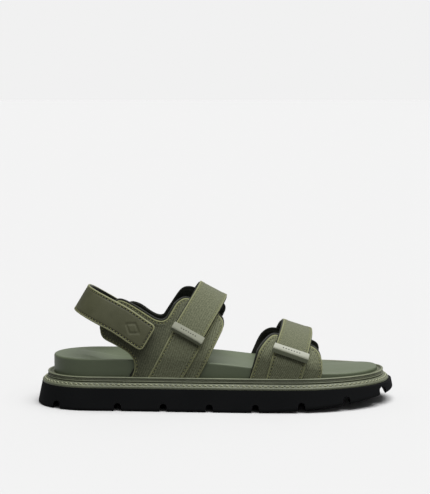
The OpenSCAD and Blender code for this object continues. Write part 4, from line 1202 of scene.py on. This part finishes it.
# ---- hook and loop tapes ----
# Woven nylon tapes: the loop side is sewn to the strip, and the hook side under the strap's free end.
# The pile stands in fine rows that are drawn about 1 mm apart.
TAPE_INSET = 2.5
tapes = {}
for kind, dark, pale, rough, scatter in (
    ("loop_pile", "#0f100e", "#23241f", 0.95, 0.9),
    ("hook_pile", "#111210", "#2b2c27", 0.7, 0.15),
):
    tape, tree, shader = start_material("nylon_" + kind, rough)
    uv = add_node(tree, "UVMap", uv_map="cloth_mm")
    pile = add_node(tree, "TexVoronoi",
                    {"Vector": uv.outputs["UV"], "Scale": 110.0, "Randomness": scatter})
    shade = add_node(tree, "ValToRGB", {"Fac": pile.outputs["Distance"]})
    shade.color_ramp.elements[0].color = linear(pale)
    shade.color_ramp.elements[1].color = linear(dark)
    relief = add_node(tree, "Bump",
                      {"Height": pile.outputs["Distance"], "Strength": 0.9, "Distance": 0.0006},
                      invert=True)
    tree.links.new(shade.outputs["Color"], shader.inputs["Base Color"])
    tree.links.new(relief.outputs["Normal"], shader.inputs["Normal"])
    tapes[kind] = tape


def strap_end_point(strap, f, h, off, inset):
    """A point near a strap's free end, h up its form's outer side, with its normal."""
    form = strap["form"]
    t = strap_t(strap, f, angle_at(form, OUT, strap["middle"], h), inset)
    return strap_point(strap, t, angle_at(form, OUT, t, h), 0.0, off)


def pile_patch(name, place_at, rows, cols, thickness, material, body, node, flip):
    """A tape: a closed patch whose faces come from place_at(u, v, off), with its pile's uneven height."""
    u, v = np.meshgrid(np.linspace(0, 1, rows), np.linspace(0, 1, cols), indexing="ij")
    base = place_at(u, v, 0.0)
    w = arc(base, 1)
    s = arc(base, 0)
    d = np.minimum(np.minimum(w, w[:, -1:] - w), np.minimum(s, s[-1:] - s))
    pile = 0.07 * np.sin(w * 5.3 + np.sin(s * 2.1)) * np.sin(s * 4.9 + np.sin(w * 1.7))
    thick = roll(d, 0.5)
    top = place_at(u, v, thickness / 2 + (thickness / 2 - 0.07 + pile) * thick)
    under = place_at(u, v, thickness / 2 - (thickness / 2 - 0.02) * thick)
    patch = slab(name, top, under, material, np.stack([w, s], -1), d, flip=flip)
    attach(patch, body)
    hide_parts(node)


for strap in straps:
    low = strap["end"] + 0.5
    for kind, base, body in (("hook", HOOK_IN, strap["name"]), ("loop", STRIP_OUT + SEAM, "sandal")):
        pile_patch(
            strap["name"] + "_" + kind + "_pile",
            lambda u, v, off: strap_end_point(strap, v, low + strap["tape"] * u, base + off, TAPE_INSET)[0],
            70, 60, TAPE_T, tapes[kind + "_pile"], body, strap["name"].replace("strap", kind + "_tape"), True)

# ---- strap tips ----
# A moulded plastic end clamped over each strap: a pale satin face, and below it a bevel with fine slanting
# ribs, darkened with painted shade. A row of plain pressed dots, dark with painted shade, marks the face.
TIP_T = 1.0
TIP_OVER = 1.2
TIP_ROUND = 0.45
RIB_PITCH = 1.35
DOT_COUNT = 7
DOT_W = 0.95

# Acetal, moulded: satin, paler on its face than on its ribbed bevel, which faces down and carries painted
# shade.
moulded_tip, tree, shader = start_material("moulded_acetal_tip", 0.42)
coordinates = add_node(tree, "TexCoord")
face = add_node(tree, "Attribute", attribute_name="edge_mm")
cloud = add_node(tree, "TexNoise", {"Vector": coordinates.outputs["Object"], "Scale": 180.0, "Detail": 3.0})
uneven = add_node(tree, "Math", {0: cloud.outputs["Fac"], 1: 0.3, 2: -0.15}, operation="MULTIPLY_ADD")
painted = add_node(tree, "Math", {0: face.outputs["Fac"], 1: uneven.outputs[0]}, operation="ADD")
shade = add_node(tree, "ValToRGB", {"Fac": painted.outputs[0]})
shade.color_ramp.elements[0].position = 0.25
shade.color_ramp.elements[0].color = linear("#565b42")
shade.color_ramp.elements[1].position = 0.75
shade.color_ramp.elements[1].color = linear("#8f9180")
relief = add_node(tree, "Bump", {"Height": cloud.outputs["Fac"], "Strength": 0.12, "Distance": 0.0003})
tree.links.new(shade.outputs["Color"], shader.inputs["Base Color"])
tree.links.new(relief.outputs["Normal"], shader.inputs["Normal"])

for strap in straps:
    end = strap["end"]
    corners = [
        (end - 0.1, STRAP_LINING_IN + 0.05), (end - LIP + 0.1, STRAP_LINING_IN + 0.15),
        (end - LIP, STRAP_LINING_IN + 0.5), (end - 0.55, STRAP_OUT + TIP_T - 0.25),
        (end - 0.1, STRAP_OUT + TIP_T), (end + strap["tip"], STRAP_OUT + TIP_T),
        (end + strap["tip"], STRAP_OUT + 0.05), (end - 0.1, STRAP_OUT + 0.05)]
    outline = np.concatenate([np.linspace(corners[k], corners[(k + 1) % len(corners)], n, endpoint=False)
                              for k, n in enumerate((2, 2, 9, 2, 6, 3, 4, 5))])
    bevel = np.exp(-((outline[:, 0] - end + 1.35) / 0.75) ** 4) * (outline[:, 1] > STRAP_LINING_IN + 0.6)
    heart = outline.mean(0)
    width = STRAP_W + 2 * TIP_OVER
    cut = TIP_ROUND / width
    f = np.concatenate([[0, 0, 0.3 * cut], np.linspace(cut, 1 - cut, 150), [1 - 0.3 * cut, 1, 1]])
    shrink = np.concatenate([[1, 0.22, 0.08], np.zeros(150), [0.08, 0.22, 1]])
    ribs = 0.17 * np.sin(2 * np.pi * (f[:, None] * width + 0.5 * (outline[None, :, 0] - end)) / RIB_PITCH)
    h = outline[None, :, 0] + (heart[0] - outline[None, :, 0]) * shrink[:, None]
    off = outline[None, :, 1] + (heart[1] - outline[None, :, 1]) * shrink[:, None]
    off = off + ribs * bevel[None] * (shrink[:, None] < 0.05)
    spots = strap_end_point(strap, np.broadcast_to(f[:, None], h.shape), h, off, -TIP_OVER)[0]
    # Painted shade on the bevel and lip: 0 there, rising to 1 on the face.
    face_lit_bevel_shaded = np.broadcast_to(ease((outline[:, 0] - end + 0.75) / 0.4), h.shape)
    tip = make_piece(strap["name"] + "_tip_moulding", spots.reshape(-1, 3),
                     grid_faces(*h.shape, wrap_cols=True), moulded_tip,
                     edge_mm=face_lit_bevel_shaded.reshape(-1), sharp_deg=40)
    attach(tip, strap["name"])
    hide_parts(strap["name"] + "_tip")
    dot_f = np.linspace(0.27, 0.73, 30)
    line, normal = strap_end_point(strap, dot_f, end + strap["tip"] / 2, STRAP_OUT + TIP_T - 0.02, -TIP_OVER)
    dots = dimples(strap["name"] + "_tip_dots", line, normal, DOT_COUNT, DOT_W, DOT_W, hole_shade)
    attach(dots, strap["name"])

# ---- heel strap ----
# A band of smooth olive leather with a rounded piped edge and a stitched channel inside it. It is sewn
# to the inner quarter's arm, runs round the heel, and closes on the outer quarter's arm.
HEEL_STRAP_W = 23.0
HEEL_FRONT_T = -14.0
HEEL_TURN_T = -46.0
HEEL_BASE_T = -19.0
HEEL_BACK = 28.0
HEEL_LOOP_OUT = PANEL_OUT + SEAM + TAPE_T
HEEL_HOOK_IN = HEEL_LOOP_OUT + 0.5
HEEL_LINING_IN = HEEL_HOOK_IN + TAPE_T + SEAM
HEEL_IN = HEEL_LINING_IN + 0.8 * LINING_T
HEEL_OUT = HEEL_IN + CANVAS_T
HEEL_STEP = HEEL_LINING_IN - PANEL_OUT - SEAM
HEEL_CORNER = 4.0
CHANNEL_IN = 2.0
MARK_FROM_END = 15.5
MARK_HALF_LONG = 6.2
MARK_HALF_WIDE = 4.4
ROW_CORNER = 2.2


def heel_middle(v):
    """Height of the strap's middle line at v: 0 to 1 outside, to 2 round the heel, and to 3 inside."""
    return smooth_curve([0, 1, 1.5, 2, 3], [11.9, 14.2, 11.2, 6.5, 5.8], v)


heel_turn_x = form_xz(INSTEP, HEEL_TURN_T, heel_middle(1.5))[0]
heel_reach = (heel_turn_x - HEEL_X - HEEL_BACK) / math.cos(math.radians(INSTEP["slope"]))


def heel_point(v, w, off):
    """A point of the heel strap at v, w above its middle line: straight on both sides, and round the
    heel a superellipse that reaches heel_reach behind the quarters."""
    v, w, off = np.broadcast_arrays(np.asarray(v, float), w, off)
    turn = np.clip(v - 1, 0, 1) * np.pi
    round_heel = (v > 1) & (v < 2)
    o = off - HEEL_STEP * ease((v - 1.3) / 0.5)
    h = heel_middle(v) + w
    outer = HEEL_FRONT_T + (HEEL_TURN_T - HEEL_FRONT_T) * np.clip(v, 0, 1)
    straight = np.where(v > 2, HEEL_TURN_T + (HEEL_BASE_T - HEEL_TURN_T) * (v - 2), outer)
    outside = form_point(INSTEP, OUT, straight, h)[..., 1] - o
    inside = form_point(INSTEP, IN, straight, h)[..., 1] + o
    y = np.where(v < 1.5, outside, inside)
    y = np.where(round_heel, y * np.abs(np.cos(turn)) ** 0.9, y)
    t = straight - np.where(round_heel, (heel_reach + o) * np.clip(np.sin(turn), 0, 1) ** 0.9, 0)
    x, z = form_xz(INSTEP, t, h)
    return np.stack([x, y, z], -1)


def heel_v(first, last, step):
    """Values of v at even distances along the strap's middle line, packed at both ends."""
    v = np.linspace(first, last, 900)
    s = arc(heel_point(v, 0.0, HEEL_OUT), 0)
    near_end = np.array([0, 0.1, 0.3, 0.6])
    at = np.concatenate([near_end, np.linspace(1, s[-1] - 1, int(s[-1] / step)), s[-1] - near_end[::-1]])
    return np.interp(at, s, v), at, s[-1]


def heel_layer(name, first, last, half_w, top_off, thickness, relief, edge, material):
    """A layer of the heel strap with rounded ends: rows along it, shortened at the corners."""
    v, s, length = heel_v(first, last, 0.7)
    from_end = np.minimum(s, length - s)
    into_corner = np.clip(HEEL_CORNER - from_end, 0, None)
    short = HEEL_CORNER - np.sqrt(np.clip(HEEL_CORNER**2 - into_corner**2, 0, None))
    half = half_w - short
    w = half[:, None] * np.sin(np.linspace(-np.pi / 2, np.pi / 2, 46))[None]
    side_d = half_w - np.abs(w)
    end_d = from_end[:, None] + 0 * w
    corner = (side_d < HEEL_CORNER) & (end_d < HEEL_CORNER)
    round_d = HEEL_CORNER - np.hypot(HEEL_CORNER - side_d, HEEL_CORNER - end_d)
    d = np.clip(np.where(corner, round_d, np.minimum(side_d, end_d)), 0, None)
    thick = roll(d, edge)
    mid = top_off - thickness / 2
    raised = relief(d, s[:, None], w)
    top = heel_point(v[:, None], w, mid + (thickness / 2 + raised) * thick)
    under = heel_point(v[:, None], w, mid - thickness / 2 * thick)
    return slab(name, top, under, material, np.stack([s[:, None] + 0 * w, w], -1), d, flip=False)


def leather_relief(d, s, w):
    """The channel inside the piped edge, and a plain pressed lozenge ring near the free end."""
    lozenge = np.abs(s - MARK_FROM_END) / MARK_HALF_LONG + np.abs(w) / MARK_HALF_WIDE
    ring_d = np.abs(lozenge - 1) * 3.6
    channel = 0.5 * np.exp(-((d - CHANNEL_IN) / 0.5) ** 2)
    return 0.12 * ease((1.6 - d) / 0.5) - channel - 0.5 * ease((0.9 - ring_d) / 0.45)


# Smooth corrected-grain leather, dyed olive brown and pressed: a tight fine grain, a soft broad gloss, a
# paler piped edge, partly burnished and partly a painted highlight, and painted shade in the channel.
leather, tree, shader = start_material("pressed_smooth_leather", 0.6)
uv = add_node(tree, "UVMap", uv_map="cloth_mm")
near = add_node(tree, "Attribute", attribute_name="edge_mm")
grain = add_node(tree, "TexVoronoi", {"Vector": uv.outputs["UV"], "Scale": 160.0})
cloud = add_node(tree, "TexNoise", {"Vector": uv.outputs["UV"], "Scale": 9.0, "Detail": 6.0})
shade = add_node(tree, "ValToRGB", {"Fac": cloud.outputs["Fac"]})
shade.color_ramp.elements[0].position = 0.3
shade.color_ramp.elements[0].color = linear("#44452f")
shade.color_ramp.elements[1].position = 0.7
shade.color_ramp.elements[1].color = linear("#4d4e38")
# The piped edge is paler, partly burnished and partly painted highlight; the channel inside it gets painted
# shade.
band_tone = add_node(tree, "MapRange", {"Value": near.outputs["Fac"], "From Min": 0.0, "From Max": 4.0})
piping_tone_and_channel_shade = add_node(tree, "ValToRGB", {"Fac": band_tone.outputs[0]})
piping_tone_and_channel_shade.color_ramp.elements[0].position = 0.0
piping_tone_and_channel_shade.color_ramp.elements[0].color = (3.0, 3.0, 3.2, 1)
piping_tone_and_channel_shade.color_ramp.elements[1].position = 1.0
piping_tone_and_channel_shade.color_ramp.elements[1].color = (1.0, 1.0, 1.0, 1)
for position, tone in ((0.26, 2.7), (0.36, 0.45), (0.6, 0.4), (0.72, 1.0)):
    stop = piping_tone_and_channel_shade.color_ramp.elements.new(position)
    stop.color = (tone, tone, tone, 1)
paint = add_node(tree, "Mix", {0: 1.0, 6: shade.outputs["Color"], 7: piping_tone_and_channel_shade.outputs["Color"]},
                 data_type="RGBA", blend_type="MULTIPLY")
relief = add_node(tree, "Bump", {"Height": grain.outputs["Distance"], "Strength": 0.2, "Distance": 0.0003})
tree.links.new(paint.outputs[2], shader.inputs["Base Color"])
tree.links.new(relief.outputs["Normal"], shader.inputs["Normal"])
shader.inputs["Specular IOR Level"].default_value = 0.35

joint = next(j for j in frame["joints"] if j["child"] == "heel_strap")
heel_hold = blended()

heel_band = heel_layer("heel_strap_leather", 0, 3, HEEL_STRAP_W / 2, HEEL_OUT, CANVAS_T, leather_relief, 0.6,
                       leather)
heel_hold(heel_band)
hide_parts("heel_strap", "heel_strap_base")
heel_pad = heel_layer("heel_strap_lining_knit", 0.012, 2.15, HEEL_STRAP_W / 2 - 0.3, HEEL_IN - 0.03,
                      0.8 * LINING_T, lambda d, s, w: 0.0 * d, 0.45, lining_knit)
heel_hold(heel_pad)
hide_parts("heel_strap_lining")

# The row in the channel goes round the whole band.
inset = HEEL_STRAP_W / 2 - CHANNEL_IN
v_all = np.linspace(0, 3, 1200)
s_all = arc(heel_point(v_all, 0.0, HEEL_OUT), 0)
along = np.linspace(CHANNEL_IN + ROW_CORNER, s_all[-1] - CHANNEL_IN - ROW_CORNER, 500)
quarter_turn = np.linspace(0, np.pi / 2, 8)[1:]
corner_s = CHANNEL_IN + ROW_CORNER * (1 - np.sin(quarter_turn))
corner_w = inset - ROW_CORNER * (1 - np.cos(quarter_turn))
row_s = np.concatenate([along[::-1], corner_s, corner_s[::-1], along,
                        s_all[-1] - corner_s, s_all[-1] - corner_s[::-1], along[-1:]])
row_w = np.concatenate([np.full(500, inset), corner_w, -corner_w[::-1], np.full(500, -inset),
                        -corner_w, corner_w[::-1], [inset]])
row_v = np.interp(row_s, s_all, v_all)
row = heel_point(row_v, row_w, HEEL_OUT - 0.36)
row_up = heel_point(row_v, row_w, HEEL_OUT + 1.0)
sewn_row("heel_strap_channel", row, row_up - row, heel_hold)

tape_half = HEEL_STRAP_W / 2 - TAPE_INSET
for kind, base, body in (("hook", HEEL_HOOK_IN, "heel_strap"), ("loop", PANEL_OUT + SEAM, "sandal")):
    pile_patch("heel_strap_" + kind + "_pile",
               lambda u, v, off: heel_point(0.1 + 0.75 * u, tape_half * (2 * v - 1), base + off),
               70, 50, TAPE_T, tapes[kind + "_pile"], body, "heel_" + kind + "_tape", False)
